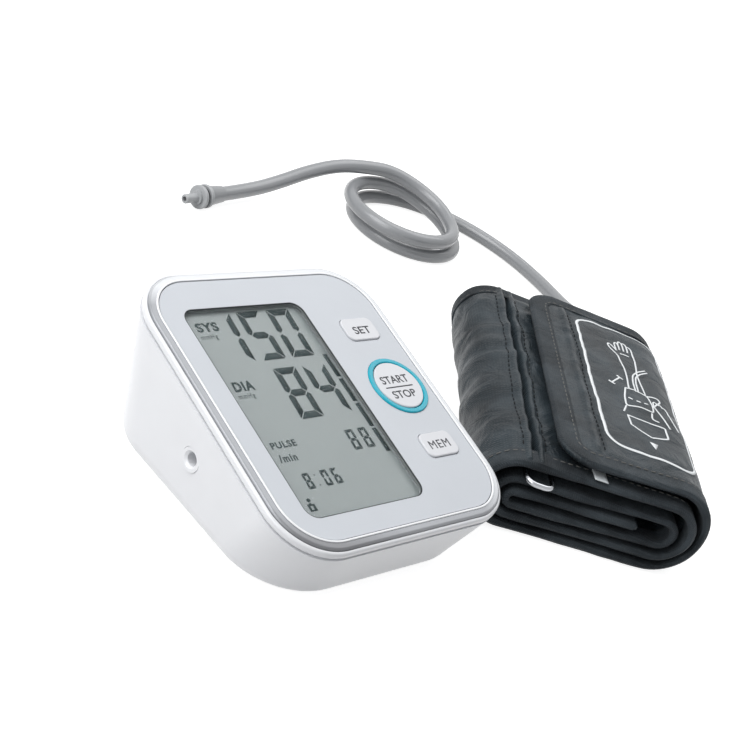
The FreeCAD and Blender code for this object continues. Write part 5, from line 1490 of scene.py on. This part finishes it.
# %% Display segments
GLASS_TOP = node_box("display_glass", PANEL)[1][2]
SYS_ROW = dict(y=74.45, wide=10.8, high=22.3, bar_x=2.75, bar_y=2.9, gap=0.27, lean=0.055)
DIA_ROW = dict(y=48.2, wide=10.65, high=22.3, bar_x=2.75, bar_y=2.9, gap=0.27, lean=0.05)
PULSE_ROW = dict(y=32.6, wide=3.8, high=8.6, bar_x=1.08, bar_y=1.2, gap=0.13, lean=0.04)
TIME_ROW = dict(y=21.1, wide=3.0, high=6.3, bar_x=0.92, bar_y=1.02, gap=0.10, lean=0.03)
FIGURES = [(SYS_ROW, "150", (18.75, 32.8, 46.85)), (DIA_ROW, "84", (33.1, 47.05)),
           (PULSE_ROW, "88", (47.65, 53.95)), (TIME_ROW, "806", (17.95, 26.05, 30.75))]
COLON = [disc(23.4, 26.1, 0.26), disc(23.3, 22.0, 0.26)]
LEVEL_BAR = [rectangle(61.1, 63.15, low, high)
             for low, high in ((63.85, 74.3), (52.4, 62.85), (41.0, 51.4), (29.8, 40.1))]
SMALL_MARK = [disc(14.7, 17.3, 0.8), rectangle(13.0, 13.95, 13.0, 15.9), rectangle(15.0, 16.1, 13.0, 15.7),
              rectangle(13.95, 15.0, 15.15, 16.2), rectangle(13.95, 15.0, 13.0, 13.6)]

segments = []
for row, figures, places in FIGURES:
    for figure, x in zip(figures, places):
        segments += digit(figure, x, **row)
segments += COLON + LEVEL_BAR + SMALL_MARK
film = plastic("segment_film", srgb(66, 75, 76), 0.6, grain_depth=0.0, mottle=0.0, specular=0.04)
segment_plates = plates(segments, GLASS_TOP - 0.02, GLASS_TOP + FILM_THICK)
display_segments = joined_strips("display_segments", segment_plates, film, PANEL)
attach(display_segments, "console")
print("segments:", len(segments))

# %% [markdown]
# Words
#
# The words on the display and the keys are printed in a plain upright face. A text object
# is a flat curve until it is made a mesh. Each word is then stretched to fill a box on the
# panel, so its height and width are set in millimetres, whatever the font.

# %% Words
def word(name, text, box, level, finish, body, heavy, spread=1.0, lean=0.0):
    """Text as a thin mesh that fills a box (left, low, wide, high) of the panel.

    A point's share of the word's own width and height is multiplied by the box's, and
    it moves to the right by `lean` times its height. `heavy` swells the strokes and
    `spread` the gaps between letters, both before the word is stretched.
    """
    curve = bpy.data.curves.new(name, "FONT")
    curve.body = text
    curve.extrude = 0.01
    curve.offset = heavy
    curve.space_character = spread
    holder = bpy.data.objects.new(name + "_text", curve)
    bpy.context.scene.collection.objects.link(holder)
    bpy.context.view_layer.update()
    mesh = bpy.data.meshes.new_from_object(holder.evaluated_get(bpy.context.evaluated_depsgraph_get()))
    bpy.data.objects.remove(holder)
    points = np.empty(3 * len(mesh.vertices))
    mesh.vertices.foreach_get("co", points)
    points = points.reshape(-1, 3)
    left, low, wide, high = box
    points = (points - points.min(0)) / np.ptp(points, axis=0) * (wide, high, FILM_THICK)
    points[:, 0] += lean * points[:, 1]
    points += (left - EDGE_X, low, level)
    mesh.vertices.foreach_set("co", carry(points, PANEL).ravel())
    mesh.materials.clear()
    mesh.materials.append(finish)
    mesh.update()
    piece = bpy.data.objects.new(name, mesh)
    bpy.context.scene.collection.objects.link(piece)
    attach(piece, body)
    return piece


print("word film: %.2f mm" % FILM_THICK)

# %% [markdown]
# Labels on the display
#
# Each row of the display has its name and its unit, made of the same film as the segments
# and leaning like them. They are generic words that say what is measured.

# %% Labels
LABEL_LEAN = 0.05
LABELS = [("label_sys", "SYS", (12.85, 89.1, 9.7, 4.1), 0.040, 1.10),
          ("label_sys_unit", "mmHg", (12.6, 85.2, 7.2, 2.8), 0.0, 1.3),
          ("label_dia", "DIA", (12.85, 62.7, 9.0, 4.2), 0.040, 1.15),
          ("label_dia_unit", "mmHg", (12.75, 59.0, 7.1, 2.8), 0.0, 1.3),
          ("label_pulse", "PULSE", (13.1, 38.3, 11.2, 2.7), 0.030, 1.15),
          ("label_rate", "/min", (13.2, 32.7, 7.8, 3.1), 0.030, 1.2)]
for name, text, place, heavy, spread in LABELS:
    word(name, text, place, GLASS_TOP, film, "console", heavy, spread, LABEL_LEAN)
print("labels:", len(LABELS))

# %% [markdown]
# Words on the keys
#
# The keys' words are printed on their caps in dark grey, START above STOP with a line
# between them. Each word rides on its own key, so that it goes down with it.

# %% Key words
KEY_TOP = node_box("set_button", PANEL)[1][2]
key_ink = plastic("key_ink", srgb(68, 69, 73), 0.6, grain_depth=0.0, mottle=0.0, specular=0.2)
KEY_WORDS = [("word_set", "SET", (80.6, 79.8, 8.7, 3.5), "set_button", 0.012, 1.0),
             ("word_mem", "MEM", (79.4, 25.5, 10.3, 3.5), "memory_button", 0.0, 1.12),
             ("word_start", "START", (77.1, 55.7, 14.1, 3.5), "start_stop_button", 0.012, 1.0),
             ("word_stop", "STOP", (78.5, 48.9, 11.8, 3.4), "start_stop_button", 0.012, 1.0)]
for name, text, place, button, heavy, spread in KEY_WORDS:
    word(name, text, place, KEY_TOP, key_ink, button, heavy, spread)
line_plate = plates([rectangle(77.2, 91.4, 53.75, 54.25)], KEY_TOP, KEY_TOP + FILM_THICK)
key_line = joined_strips("word_line", line_plate, key_ink, PANEL)
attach(key_line, "start_stop_button")
print("key words:", len(KEY_WORDS), "and a line, %.1f mm above the faceplate" % KEY_TOP)

# %% [markdown]
# Close
#
# Colours are shown as they are, without a film look.

# %% Close
bpy.context.scene.view_settings.view_transform = "Standard"
